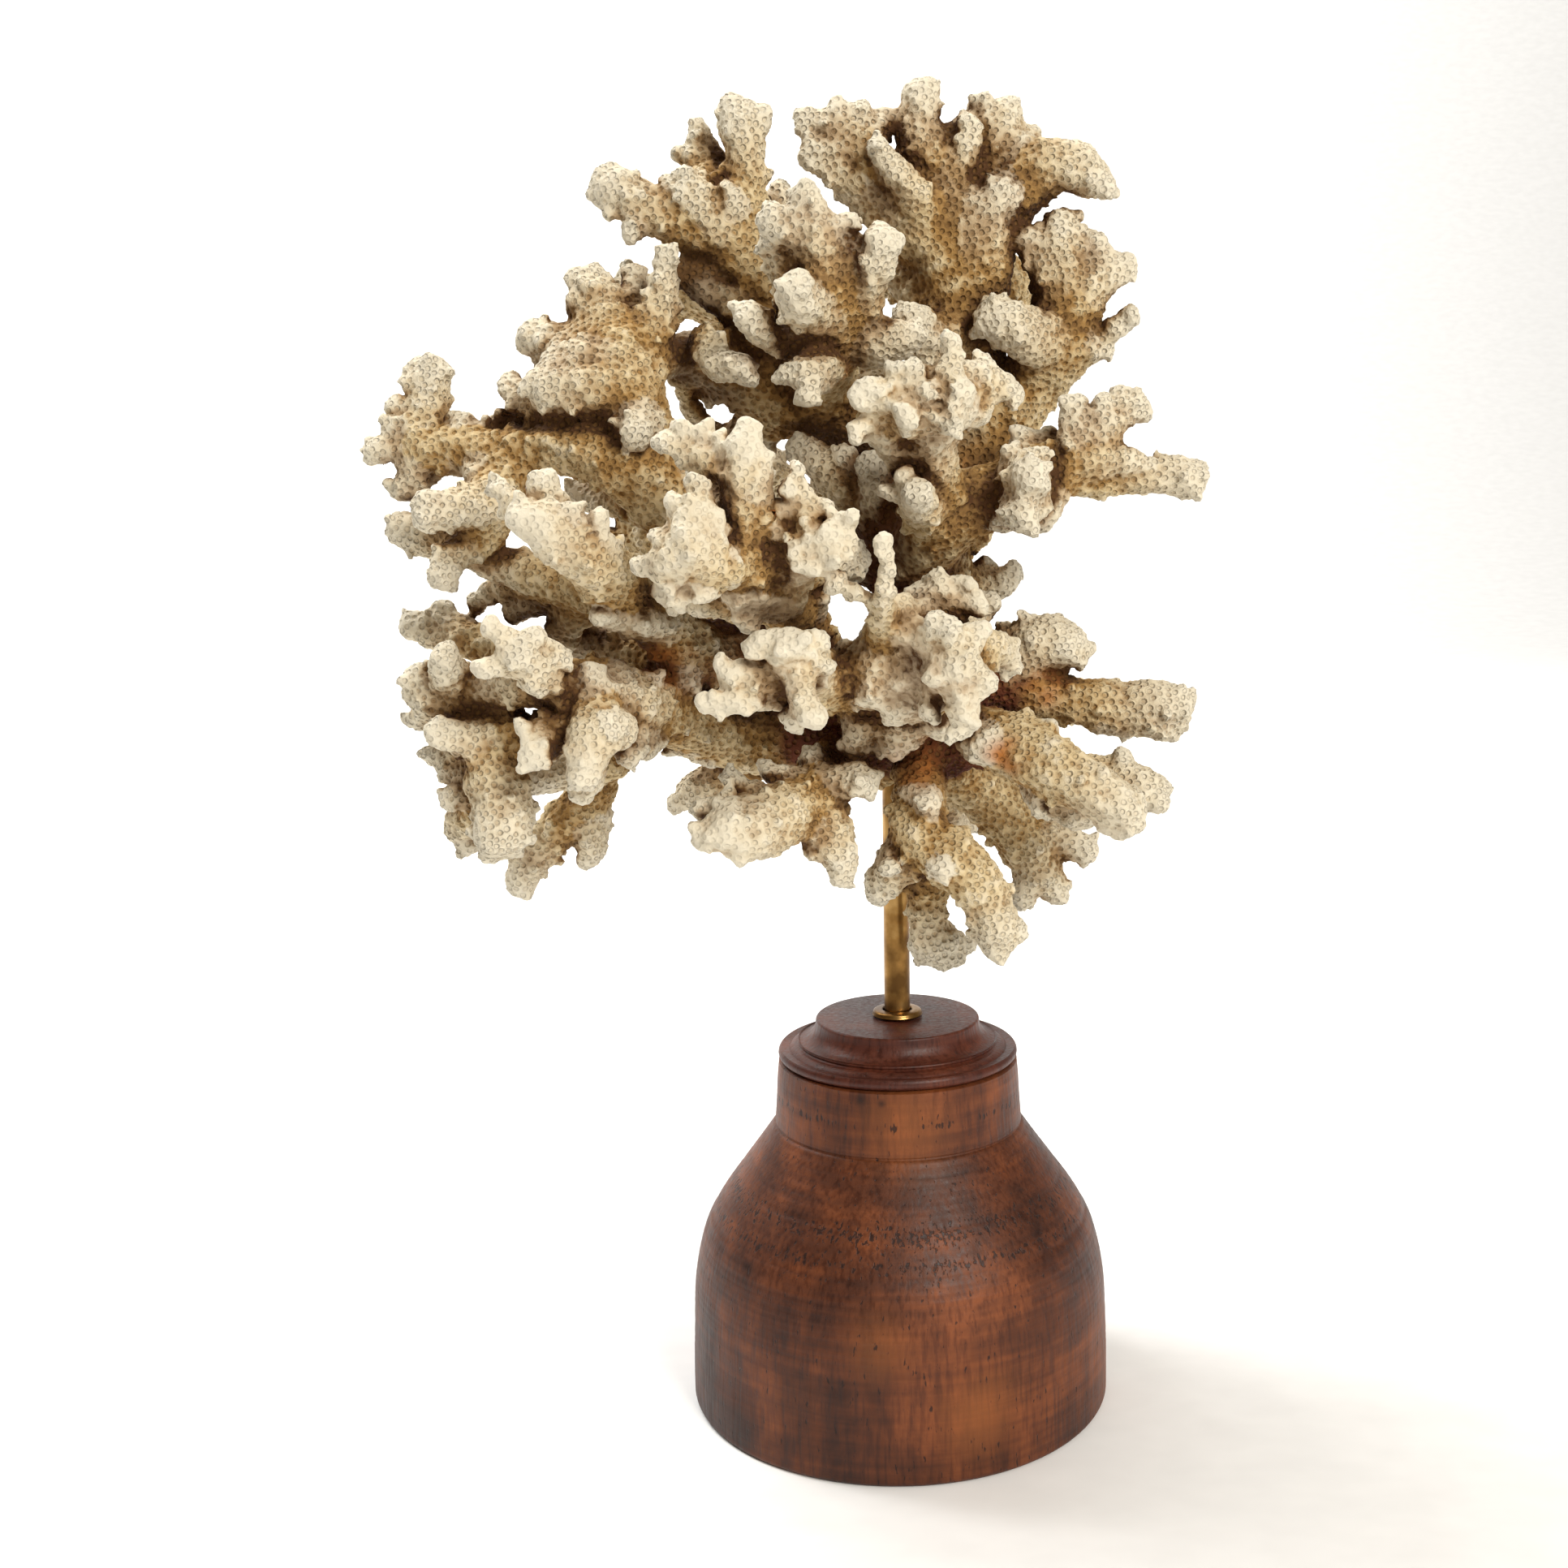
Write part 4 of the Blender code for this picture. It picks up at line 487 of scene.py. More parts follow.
boughs["far_left_bough"] = [
    [(-10, 142, -4, 5.4), (-19.5, 149.5, -6, 5.2), (-27, 158, -9, 5.6), (-36, 167, -14, 6),
     (-43, 175, -18, 6), (-50, 181, -20, 5.8), (-58, 184, -18, 5.1),
     (-67, 184, -14, 4.3), (-74, 184, -12, 3.8), (-80, 184.6, -10, 4),
     (-86, 184.4, -8, 4.7), (-85.4, 190, -6, 4), (-85.2, 195.5, -5, 3.9),
     (-84.2, 198, -5, 3.5)],
    [(-85.8, 196, -5, 3.2), (-87, 198.2, -5, 2.2)],
    [(-86, 189, -6, 3.2), (-91, 192, -6, 1.8)],
    [(-86, 187, -8, 3.4), (-92.2, 187.8, -8, 1.5)],
    [(-86, 184.2, -8, 4), (-92, 184.6, -8, 2.6), (-95.4, 184.3, -8, 2.3)],
    [(-87, 182, -8, 4.2), (-89, 178.2, -8, 3.1), (-91.4, 177.2, -8, 2)],
    [(-80, 184, -10, 3.8), (-79, 188.6, -9, 2.6)],
    [(-75.5, 184, -11, 3.2), (-75.3, 187.5, -10, 1.9)],
    [(-70, 182, -13, 3.8), (-74, 175.5, -18, 4.2), (-80, 173.6, -22, 3.6),
     (-86, 173.4, -24, 3.7)],
    [(-44, 175, -14, 5), (-52, 175.4, -6, 3.6), (-58, 176, -4, 2.6)],
    [(-74, 175, -18, 4.4), (-76, 169.5, -16, 4.4), (-82, 168.6, -14, 4),
     (-88, 169, -12, 4), (-91.2, 169.8, -12, 3.2)],
    [(-79, 167, -16, 3.8), (-83.4, 163.6, -20, 2.9), (-84.5, 161.4, -22, 2.7)],
    [(-43, 175, -18, 5.4), (-38, 179, -16, 4), (-33, 179, -12, 3.4)],
    [(-60, 186, -12, 4), (-68, 188.4, -9, 2.8), (-73, 189, -8, 1.8)],
    [(-75, 183, -12, 3.6), (-76.4, 178, -15, 3)],
]
boughs["upper_left_bough"] = [
    [(-44, 183, -18, 5.2), (-46.6, 190, -18, 4.9), (-50, 194, -20, 5.2),
     (-56, 194.8, -20, 5.1), (-62, 195, -20, 4.5), (-64.6, 195.8, -20, 3)],
    [(-61, 193, -17, 3.8), (-67.5, 193.2, -12, 3.2), (-70.4, 196, -10, 2.2)],
    [(-48, 194, -18, 5.4), (-48.5, 201, -14, 6.2), (-52, 207.4, -10, 5.2),
     (-55, 212.4, -8, 3.8), (-57, 214.6, -8, 2.1)],
    [(-55, 212, -8, 3.4), (-53.4, 214.8, -8, 1.9)],
    [(-54, 208, -9, 4), (-57.4, 209.4, -9, 2.1)],
    [(-46, 207, -6, 3.4), (-48.4, 213, 4, 2.4), (-47.8, 216.4, 5, 1.3)],
    [(-50, 202, -14, 5.6), (-58, 201.6, -11, 4.4), (-62, 203.4, -9, 3)],
    [(-46, 202, -14, 5), (-42.8, 208, -14, 3.5), (-41.2, 213.4, -14, 2.7),
     (-40.6, 218.4, -14, 2)],
    [(-51, 204, -10, 5), (-59, 202.4, -8, 4), (-65.2, 204.6, -8, 3.1)],
    [(-47, 208, -8, 3.6), (-47, 215.4, -5, 1.8)],
    [(-53, 200, -12, 4.6), (-60, 201, -10, 3.5), (-63.6, 199.6, -8, 2)],
    [(-47, 189, -22, 4.2), (-47.4, 187, -26, 3.1)],
    [(-45, 200, -12, 4.6), (-39.5, 201, -4, 3.4)],
    [(-48, 198, -17, 5.4), (-56, 199.4, -17, 4.8), (-61, 199.6, -16, 3.4)],
    [(-46, 190, -17, 5), (-54, 188.6, -15, 4.4), (-61, 188, -14, 3)],
]
boughs["front_left_bough"] = [
    [(-13, 144, -6, 5), (-18, 151, -18, 5), (-22, 158.5, -33, 5.2),
     (-27, 164, -40, 5), (-27.2, 171, -43, 4.4), (-27.4, 178, -44, 4.5),
     (-27.2, 184, -45, 3.6), (-26.8, 187.8, -45, 2)],
    [(-26, 176, -45, 3.4), (-24.4, 182, -45, 1.9)],
    [(-28.5, 178, -43, 3.2), (-31, 183, -43, 2.6), (-32, 185.6, -43, 1.5)],
    [(-33, 181, -42, 3.2), (-38, 184, -40, 2.8), (-42.8, 185.3, -40, 1.6)],
    [(-37.5, 184.6, -40, 2.4), (-38.4, 187.6, -40, 1.4)],
    [(-34.5, 184, -41, 2.2), (-35, 187.4, -41, 1.3)],
    [(-26, 163, -40, 5), (-33, 163, -46, 4.8), (-37, 166, -49, 4.9),
     (-37.4, 171.4, -49, 3.9), (-35.6, 175, -48, 2.4), (-37.2, 178.2, -48, 1.3)],
    [(-35.6, 175, -48, 1.9), (-35, 177.6, -48, 1.2)],
    [(-38, 172, -49, 3.2), (-41, 174.6, -48, 1.7)],
    [(-38, 165, -49, 4.6), (-42, 163.5, -48, 3.6), (-47, 162.4, -46, 1.9)],
    [(-40, 167, -49, 3.4), (-44, 168.2, -47, 1.5)],
    [(-36, 170, -49, 3.4), (-33.4, 168.4, -49, 2)],
    [(-36, 162, -46, 3.8), (-35.4, 158.6, -46, 2.9)],
    [(-37, 160, -45, 2.8), (-40, 156.8, -45, 1.8)],
    [(-40, 162, -47, 3), (-41.6, 160.2, -47, 2)],
    [(-30.4, 160, -46, 2), (-30.2, 164.6, -48, 1.4)],
    [(-25, 157, -35, 3.6), (-27.5, 152.5, -36, 2.3)],
    [(-21, 157.5, -33, 5), (-28, 158.3, -38, 4.6)],
    [(-26, 157, -34, 4), (-34, 156, -34, 3.2), (-43, 158, -32, 2.8)],
    [(-18, 151, -18, 4), (-15, 155.5, -22, 2.8), (-14, 157, -24, 2)],
]
boughs["front_middle_bough"] = [
    [(-20, 161, -35, 4.6), (-15.5, 165, -43, 4), (-11.5, 167.4, -46, 3.2)],
    [(-11.5, 167, -46, 2.9), (-9, 170.4, -46, 1.5)],
    [(-11.5, 166.6, -46, 2.8), (-8.3, 165.2, -46, 1.4)],
    [(-14, 164.6, -45, 3), (-15.4, 162.4, -46, 1.7)],
    [(-11.5, 165, -46, 2.6), (-11.5, 163.4, -47, 1.8)],
    [(-16, 165.6, -44, 3), (-18.6, 164.6, -46, 1.5)],
    [(-16, 167, -43, 3.6), (-16, 172.4, -43, 2.7), (-17, 177, -44, 1.8), (-17.6, 179.8, -44, 0.8)],
    [(-17, 174.6, -43, 1.9), (-19.2, 176.6, -45, 1.3)],
    [(-15.5, 172.5, -43, 2), (-12.6, 172.8, -43, 1.4)],
    [(-16.4, 172, -43, 2), (-20.4, 172.6, -43, 1.2)],
    [(-18, 167, -42, 3.2), (-21.2, 168, -43, 2.2)],
    [(-20, 161, -33, 4.4), (-14, 162.4, -26, 3.6), (-8, 163.4, -18, 3.6)],
    [(-26, 172, -36, 4), (-33, 174, -34, 3.6), (-35, 178, -32, 2.6)],
    [(-20, 163, -33, 4.4), (-24, 169, -32, 4), (-25.6, 175, -32, 3.6), (-26, 179, -34, 3)],
    [(-19, 166, -38, 3.6), (-22.4, 165, -38, 3.6), (-24.4, 170, -38, 3.4)],
]
# boughs behind the rod, hidden in the photograph
boughs["back_lower_left_bough"] = [
    [(-6, 130, 9, 6.4), (-14, 130, 22, 6), (-24, 131, 34, 5.4),
     (-34, 134, 44, 5), (-44, 136, 50, 4.4), (-50, 138, 52, 3.4)],
    [(-24, 131, 34, 5), (-21, 138, 44, 4), (-19.5, 143.5, 50, 3.2)],
    [(-34, 134, 44, 4.6), (-33, 130, 52, 3)],
    [(-16, 130, 26, 5), (-15, 127.5, 36, 3.4)],
]
boughs["back_left_bough"] = [
    [(-3, 140, 9, 6.4), (-17, 144, 22, 5), (-28, 152, 32, 5.2),
     (-36, 160, 40, 5), (-44, 167, 46, 4.4), (-50, 176, 50, 4),
     (-54, 182, 52, 3)],
    [(-36, 160, 40, 4.4), (-28, 168, 48, 4.2), (-27, 176, 54, 3.4)],
    [(-44, 167, 46, 4), (-58, 165.5, 52, 3.4), (-63, 169, 54, 2.6)],
    [(-28, 152, 32, 5), (-40, 150, 42, 3.8), (-46, 152, 48, 3)],
]
boughs["back_upper_left_bough"] = [
    [(-20, 194, 11, 5.4), (-24, 200, 24, 5), (-25, 208, 34, 4.6),
     (-26, 216, 40, 4.2), (-26, 224, 44, 3.3)],
    [(-24, 202, 26, 4.6), (-17, 207, 36, 4), (-13, 213, 42, 3.6),
     (-13.5, 221, 44, 2.8)],
    [(-25, 208, 32, 4.6), (-35, 212, 34, 4.6), (-44, 211, 38, 4),
     (-52, 209, 40, 3.2)],
    [(-24, 201, 25, 4.6), (-21, 196, 38, 3.8), (-16, 193, 46, 3)],
]
boughs["back_upper_right_bough"] = [
    [(14, 206, 11, 6), (14, 212, 24, 5.4), (13, 220, 34, 5),
     (15, 229, 40, 4.2), (18, 236.5, 44, 3.3)],
    [(14, 214, 26, 5), (24, 213, 36, 4.4), (31, 214, 42, 4), (35.5, 212, 44, 3)],
    [(13, 220, 34, 4.4), (8, 228, 38, 3.4), (5, 233, 40, 2.6)],
    [(8, 211, 20, 5), (3, 214, 30, 4.4), (-3, 216, 38, 3.2)],
    [(14, 210, 22, 4.6), (16, 204, 36, 3.8), (14, 200, 44, 3)],
]
boughs["back_centre_bough"] = [
    [(8, 172, 7, 7), (6, 178, 20, 6.4), (2, 186, 32, 6), (-3, 192, 42, 5.4),
     (-6, 199, 48, 4.6)],
    [(6, 180, 24, 6), (14, 188, 36, 5), (19, 193, 44, 4.2), (22, 191, 50, 3)],
    [(2, 186, 32, 5), (8, 176, 46, 4.6), (8, 170, 52, 3.8)],
    [(4, 180, 24, 5), (-7, 174, 28, 5), (-17, 172.5, 32, 4.4), (-21, 177, 38, 3.6),
     (-24, 183, 42, 3)],
    [(-3, 192, 42, 4.4), (-12, 190, 50, 3.6), (-17, 192, 54, 2.8)],
]
boughs["back_right_bough"] = [
    [(8, 163, 6, 6), (11, 169, 20, 5), (16, 174, 32, 4.8), (22, 176.5, 42, 4.2),
     (27, 178, 48, 3.6)],
    [(9, 160, 8, 4.6), (15, 159.6, 13, 3.1), (20, 158.7, 15, 3),
     (22.4, 160.6, 15, 1.9)],
    [(16.5, 159.6, 14, 2.4), (16.8, 161.8, 14, 1.6)],
    [(14, 169, 26, 4.6), (6, 164, 40, 4.4), (2, 160, 48, 3.4)],
]
boughs["back_lower_right_bough"] = [
    [(6, 132, 9, 6.4), (12, 134, 22, 6), (19, 136.5, 34, 5.4),
     (26, 137.5, 44, 4.6), (34, 136.6, 50, 4.1), (40, 135.8, 54, 3.4)],
    [(12, 134, 22, 5.4), (16, 128, 34, 5), (22, 124.5, 44, 4.2),
     (30, 122, 48, 3.3)],
    [(19, 137, 34, 4.6), (14, 146, 44, 4.2), (12, 152, 50, 3.2)],
]
boughs["back_hanging_bough"] = [
    [(2, 129, 11, 6), (3, 124, 24, 5.4), (4, 119, 33, 4.8), (5, 113, 40, 4.2),
     (6, 107, 44, 3.4)],
    [(4, 120, 32, 4.4), (10, 117, 40, 3.4), (13, 113.5, 44, 2.6)],
    [(3, 124, 24, 4.4), (-1, 126, 38, 3.6), (-4, 124.5, 44, 2.8)],
]


def inSpace(point):
    # moves a seen point along the line of sight to its own depth
    across, up, depth, radius = point
    scale = 1 + depth / eyeDistance
    return np.array([across * scale, depth, eyeHeight + (up - eyeHeight) * scale, radius * scale])


def smoothChain(chain):
    # a branch bends softly through its points, which keep their radii
    points = [inSpace(point) for point in chain]
    ends = [2 * points[0] - points[1]] + points + [2 * points[-1] - points[-2]]
    line = []
    for a, b, c, d in zip(ends, ends[1:], ends[2:], ends[3:]):
        for t in (0, 1 / 3, 2 / 3):
            bend = 0.5 * (2 * b + (c - a) * t + (2 * a - 5 * b + 4 * c - d) * t * t
                          + (3 * b - a - 3 * c + d) * t ** 3)
            bend[3] = b[3] + (c[3] - b[3]) * t
            line.append(bend)
    return line + [points[-1]]


def softLeast(old, new, soft):
    # the smaller of two distances, rounded where they are alike
    near = np.maximum(soft - np.abs(old - new), 0) / soft
    return np.minimum(old, new) - near * near * soft / 4


class SkinGrid:
    # a grid of distances to the skin, with the nearest bough and how near its tip is

    def __init__(self, low, high, step):
        self.step = step
        self.low = low
        self.shape = tuple(int(n) for n in np.ceil((high - low) / step) + 1)
        self.distance = np.full(self.shape, coral["far"], np.float32)
        self.nearest = np.full(self.shape, coral["far"], np.float32)
        self.bough = np.zeros(self.shape, np.int16)
        self.tip = np.zeros(self.shape, np.float32)

    def window(self, points, reach):
        # the part of the grid round some points, with its coordinates
        first = np.floor((points[:, :3].min(0) - reach - self.low) / self.step).astype(int)
        last = np.ceil((points[:, :3].max(0) + reach - self.low) / self.step).astype(int)
        first, last = np.maximum(first, 0), np.minimum(last, np.array(self.shape) - 1)
        axes = [self.low[i] + self.step * np.arange(first[i], last[i] + 1) for i in range(3)]
        cut = tuple(slice(first[i], last[i] + 1) for i in range(3))
        grids = np.meshgrid(*[axis.astype(np.float32) for axis in axes], indexing="ij")
        return cut, np.stack(grids, -1)

    def merge(self, cut, new, soft):
        # softly joins new distances to what is there
        self.distance[cut] = softLeast(self.distance[cut], new, soft)

    def addBough(self, lines, number, palm):
        # branches of one bough melt together, then the bough joins the rest
        points = np.concatenate([np.array(line) for line in lines])
        cut, places = self.window(points, points[:, 3].max() + coral["reach"])
        whole = np.full(places.shape[:3], coral["far"], np.float32)
        for line in lines:
            part, best = self.branch(line, number)
            inner = tuple(slice(p.start - c.start, p.stop - c.start) for p, c in zip(part, cut))
            # thick branches melt together, small twigs stay crisp
            soft = palm * line[-1][3] ** 1.4
            whole[inner] = softLeast(whole[inner], best, soft)
        self.merge(cut, whole, coral["fillet"])

    def branch(self, line, boughNumber):
        # distances to one branch: tapered rods between its points
        reach = coral["reach"]
        points = np.array(line)
        lengths = np.linalg.norm(np.diff(points[:, :3], axis=0), axis=1)
        toTip = np.concatenate([np.cumsum(lengths[::-1])[::-1], [0]])
        cut, places = self.window(points, points[:, 3].max() + reach)
        best = np.full(places.shape[:3], coral["far"], np.float32)
        tip = np.zeros(places.shape[:3], np.float32)
        for a, b, before, after in zip(points, points[1:], toTip, toTip[1:]):
            part, _ = self.window(np.array([a, b]), max(a[3], b[3]) + reach)
            inner = tuple(slice(p.start - c.start, p.stop - c.start) for p, c in zip(part, cut))
            offset = places[inner] - a[:3].astype(np.float32)
            run = (b - a)[:3].astype(np.float32)
            along = np.clip(offset @ run / (run @ run), 0, 1)
            gap = np.linalg.norm(offset - along[..., None] * run, axis=-1)
            gap -= a[3] + along * (b[3] - a[3])
            closer = gap < best[inner]
            best[inner] = np.where(closer, gap, best[inner])
            tip[inner] = np.where(closer, before + along * (after - before), tip[inner])
        owned = best < self.nearest[cut]
        self.nearest[cut] = np.where(owned, best, self.nearest[cut])
        self.bough[cut] = np.where(owned, boughNumber, self.bough[cut])
        self.tip[cut] = np.where(owned, tip, self.tip[cut])
        return cut, best

    def addKnob(self, foot, top, radius, soft=0.9):
        # a small blunt cone
        cut, places = self.window(np.array([foot, top]), 1.6 * radius + 1.0)
        offset = places - foot.astype(np.float32)
        run = (top - foot).astype(np.float32)
        along = np.clip(offset @ run / (run @ run), 0, 1)
        gap = np.linalg.norm(offset - along[..., None] * run, axis=-1) - radius * (1.35 - 0.5 * along)
        self.merge(cut, gap, soft)

    def sample(self, values, points):
        # values at points, from the nearest grid place
        spots = np.rint((points - self.low) / self.step).astype(int)
        spots = np.clip(spots, 0, np.array(self.shape) - 1)
        return values[spots[:, 0], spots[:, 1], spots[:, 2]]


def blurred(values, size):
    # box blur along all three axes, by running sums
    for axis in range(3):
        padding = [(0, 0)] * 3
        padding[axis] = (size + 1, size)
        sums = np.cumsum(np.pad(values, padding, mode="edge"), axis=axis, dtype=np.float32)
        count = values.shape[axis]
        after = np.take(sums, np.arange(count) + 2 * size + 1, axis=axis)
        values = (after - np.take(sums, np.arange(count), axis=axis)) / (2 * size + 1)
    return values


def skinOf(grid):
    # one vertex in every grid cell that the skin crosses, four of them to a face
    field = grid.distance
    _, ny, nz = field.shape
    cellIds, spots, faces = [], [], []
    for axis in range(3):
        a = [slice(None)] * 3
        b = [slice(None)] * 3
        a[axis], b[axis] = slice(0, -1), slice(1, None)
        first, second = field[tuple(a)], field[tuple(b)]
        index = np.argwhere((first < 0) != (second < 0))
        inner = np.all([(index[:, i] > 0) & (index[:, i] < field.shape[i] - 2) for i in range(3)], axis=0)
        index = index[inner]
        f0 = first[index[:, 0], index[:, 1], index[:, 2]]
        f1 = second[index[:, 0], index[:, 1], index[:, 2]]
        place = index.astype(np.float64)
        place[:, axis] += f0 / (f0 - f1)
        u, v = [i for i in ((axis + 1) % 3, (axis + 2) % 3)]
        corners = []
        for du, dv in ((-1, -1), (0, -1), (0, 0), (-1, 0)):
            cell = index.copy()
            cell[:, u] += du
            cell[:, v] += dv
            ids = (cell[:, 0] * ny + cell[:, 1]) * nz + cell[:, 2]
            corners.append(ids)
            cellIds.append(ids)
            spots.append(place)
        quad = np.stack(corners, 1)
        quad[f0 >= 0] = quad[f0 >= 0][:, ::-1]
        faces.append(quad)
    cellIds = np.concatenate(cellIds)
    spots = np.concatenate(spots)
    unique, where = np.unique(cellIds, return_inverse=True)
    count = np.bincount(where)
    verts = np.stack([np.bincount(where, spots[:, i]) / count for i in range(3)], 1)
    faces = np.searchsorted(unique, np.concatenate(faces))
    return verts * grid.step + grid.low, faces


def vertexNormals(verts, faces):
    cross = np.cross(verts[faces[:, 2]] - verts[faces[:, 0]], verts[faces[:, 3]] - verts[faces[:, 1]])
    normals = np.zeros_like(verts)
    for corner in range(4):
        for i in range(3):
            normals[:, i] += np.bincount(faces[:, corner], cross[:, i], len(verts))
    return normals / np.maximum(np.linalg.norm(normals, axis=1, keepdims=True), 1e-9)


def relaxed(verts, faces, share):
    # each vertex moves a share of the way to the middle of its neighbours
    total = np.zeros_like(verts)
    count = np.zeros(len(verts))
    for corner in range(4):
        here, there = faces[:, corner], faces[:, (corner + 1) % 4]
        for source, goal in ((here, there), (there, here)):
            count += np.bincount(source, minlength=len(verts))
            for i in range(3):
                total[:, i] += np.bincount(source, verts[goal, i], len(verts))
    return verts + share * (total / np.maximum(count, 1)[:, None] - verts)


def growKnobs(grid, line, rng):
    # little blunt knobs in rings along a branch
    points = np.array(line)
    runs = np.diff(points[:, :3], axis=0)
    lengths = np.linalg.norm(runs, axis=1)
    total = lengths.sum()
    every = coral["knobEvery"]
    grown = 0
    for place in np.arange(every / 2, total + every, every):
        part = int(np.clip(np.searchsorted(np.cumsum(lengths), place), 0, len(runs) - 1))
        share = np.clip((place - lengths[:part].sum()) / lengths[part], 0, 1)
        middle = points[part] + share * (points[part + 1] - points[part])
        direction = runs[part] / lengths[part]
        side = np.cross(direction, [0.3, 0.5, 0.81])
        side /= np.linalg.norm(side)
        other = np.cross(direction, side)
        around = max(2, round(2 * math.pi * middle[3] / (1.5 * every)))
        turn = rng.uniform(0, 2 * math.pi)
        for k in range(around):
            angle = turn + 2 * math.pi * (k + rng.uniform(-0.35, 0.35)) / around
            # knobs lean forward, most of all on the very tip
            lean = rng.uniform(-0.3, 0.5) + (0.6 if share == 1 and place > total - 2 else 0)
            outward = math.cos(angle) * side + math.sin(angle) * other + lean * direction
            outward /= np.linalg.norm(outward)
            radius = rng.uniform(*coral["knobRadius"])
            height = rng.uniform(*coral["knobHeight"])
            if rng.random() < coral["knobShare"]:
                foot = middle[:3] + outward * (middle[3] - 0.8)
                grid.addKnob(foot, foot + outward * (0.5 + height), radius)
                grown += 1
    return grown


def growSkin():
    # all bones and knobs in one grid, so that the boughs run into each other
    rng = np.random.default_rng(coral["seed"])
    lines = [(number, smoothChain(chain))
             for number, chains in enumerate(boughs.values()) for chain in chains]
    everything = np.concatenate([np.array(line) for _, line in lines])
    margin = everything[:, 3].max() + 1
    grid = SkinGrid(everything[:, :3].min(0) - margin, everything[:, :3].max(0) + margin, coral["step"])
    for number, name in enumerate(boughs):
        palm = coral["broadPalm"] if name in coral["broadBoughs"] else coral["palm"]
        grid.addBough([line for owner, line in lines if owner == number], number, palm)
    knobs = sum(growKnobs(grid, line, rng) for _, line in lines)
    print("skin grown:", len(lines), "branches,", knobs, "knobs")
    return grid


def placePores(verts, faces):
    # pores keep a least distance from each other, as the polyps did
    tree = kdtree.KDTree(len(verts))
    for i, co in enumerate(verts):
        tree.insert(co, i)
    tree.balance()
    rng = np.random.default_rng(coral["seed"] + 1)
    # they are set in ragged rows that sweep over the skin
    sweep = verts @ np.array([0.36, 0.48, 0.80]) + rng.uniform(0, 1.2, len(verts))
    free = np.ones(len(verts), bool)
    centres = []
    for i in np.argsort(sweep):
        if free[i]:
            centres.append(i)
            for _, j, _ in tree.find_range(verts[i], coral["poreSpacing"]):
                free[j] = False
    poreTree = kdtree.KDTree(len(centres))
    for number, i in enumerate(centres):
        poreTree.insert(verts[i], number)
    poreTree.balance()
    found = [poreTree.find(co) for co in verts]
    nearest = np.array([number for _, number, _ in found])
    gap = np.array([distance for _, _, distance in found])
    # each face knows its two nearest pores, so that the material can draw them round
    nearTwo = np.array([[number for _, number, _ in poreTree.find_n(co, 2)]
                        for co in verts[faces].mean(1)])
    centres = np.array(centres)
    return centres[nearest], gap, centres[nearTwo]


def slowNoise(places, size):
    # smooth noise of about this feature size
    return np.array([noise.noise(Vector(place) / size) for place in places])


def spotted(places, spots):
    # how strongly the nearest spot covers each place
    cover = np.zeros(len(places))
    for x, y, z, size, strength in spots:
        away = np.linalg.norm(places - (x, y, z), axis=1)
        cover = np.maximum(cover, strength * np.clip(1.3 - away / size, 0, 1))
    return cover


def wornAndHighlightShare(verts, toTip):
    # skin worn by handling and age is smoother, and the same mask whitens it as a painted highlight: the
    # ends that face the viewer
    facing = np.clip((-verts[:, 1] - coral["wornHighlightFrom"]) / coral["wornHighlightSpan"], 0, 1)
    patch = np.clip(0.5 + 1.5 * slowNoise(verts + 60, 9.0), 0, 1)
    ends = facing * np.clip(1.2 - toTip / 16, 0, 1) * (0.4 + 1.0 * patch)
    return np.clip(ends + 0.5 * np.clip(1 - toTip / 5, 0, 1) * patch, 0, 1)


def pressPores(verts, normals, centre, gap, strength):
    # the ring of vertices round a pore closes in to a round rim, and the middle sinks
    toCentre = verts - verts[centre]
    toCentre -= normals * np.sum(toCentre * normals, 1, keepdims=True)
    closing = coral["poreClosing"] * ((gap > 0) & (gap < coral["poreReach"]))
    verts = verts - toCentre * closing[:, None]
    gap = gap * (1 - closing)
    pit = np.clip(1 - gap / coral["pitRadius"], 0, 1) ** 0.8
    rim = np.exp(-((gap - coral["rimRadius"]) / coral["rimWidth"]) ** 2)
    relief = strength * (coral["rimHeight"] * rim - coral["pitDepth"] * pit)
    return verts + normals * relief[:, None]


def filmAndShadeMasks(grid, verts, normals):
    # how far the skin lies in a hollow, from the coral that stands around it, for painted shade in the
    # colour
    solid = (grid.distance < 0).astype(np.float32)
    wide = grid.sample(blurred(blurred(solid, 7), 7), verts + 3.0 * normals)
    close = grid.sample(blurred(solid, 4), verts + 1.5 * normals)
    hollow = np.clip(1.25 * wide + 0.55 * close - 0.12, 0, 1)
    # brown film round the heart, made heavier in the hollows as painted shade, and in its own spots, which
    # partly paint shade too; both patchy
    fromHeart = np.linalg.norm((verts - coral["heart"]) / coral["heartSize"], axis=1)
    inward = np.clip(1.35 - fromHeart, 0, 1)
    stain = np.clip(inward * (0.2 + 1.6 * hollow) * (0.6 + 0.8 * slowNoise(verts + 20, 14.0)), 0, 1)
    ragged = 0.7 + 0.6 * slowNoise(verts + 20, 8.0)
    stain = np.clip(stain + spotted(verts, coral["filmAndShadeSpots"]) * ragged, 0, 1)
    blotch = 0.65 + 0.9 * slowNoise(verts + 130, 3.5)
    orange = np.clip(spotted(verts, coral["orangeSpots"]) * blotch, 0, 1)
    return {"hollow": hollow, "stain": stain, "orange": orange}


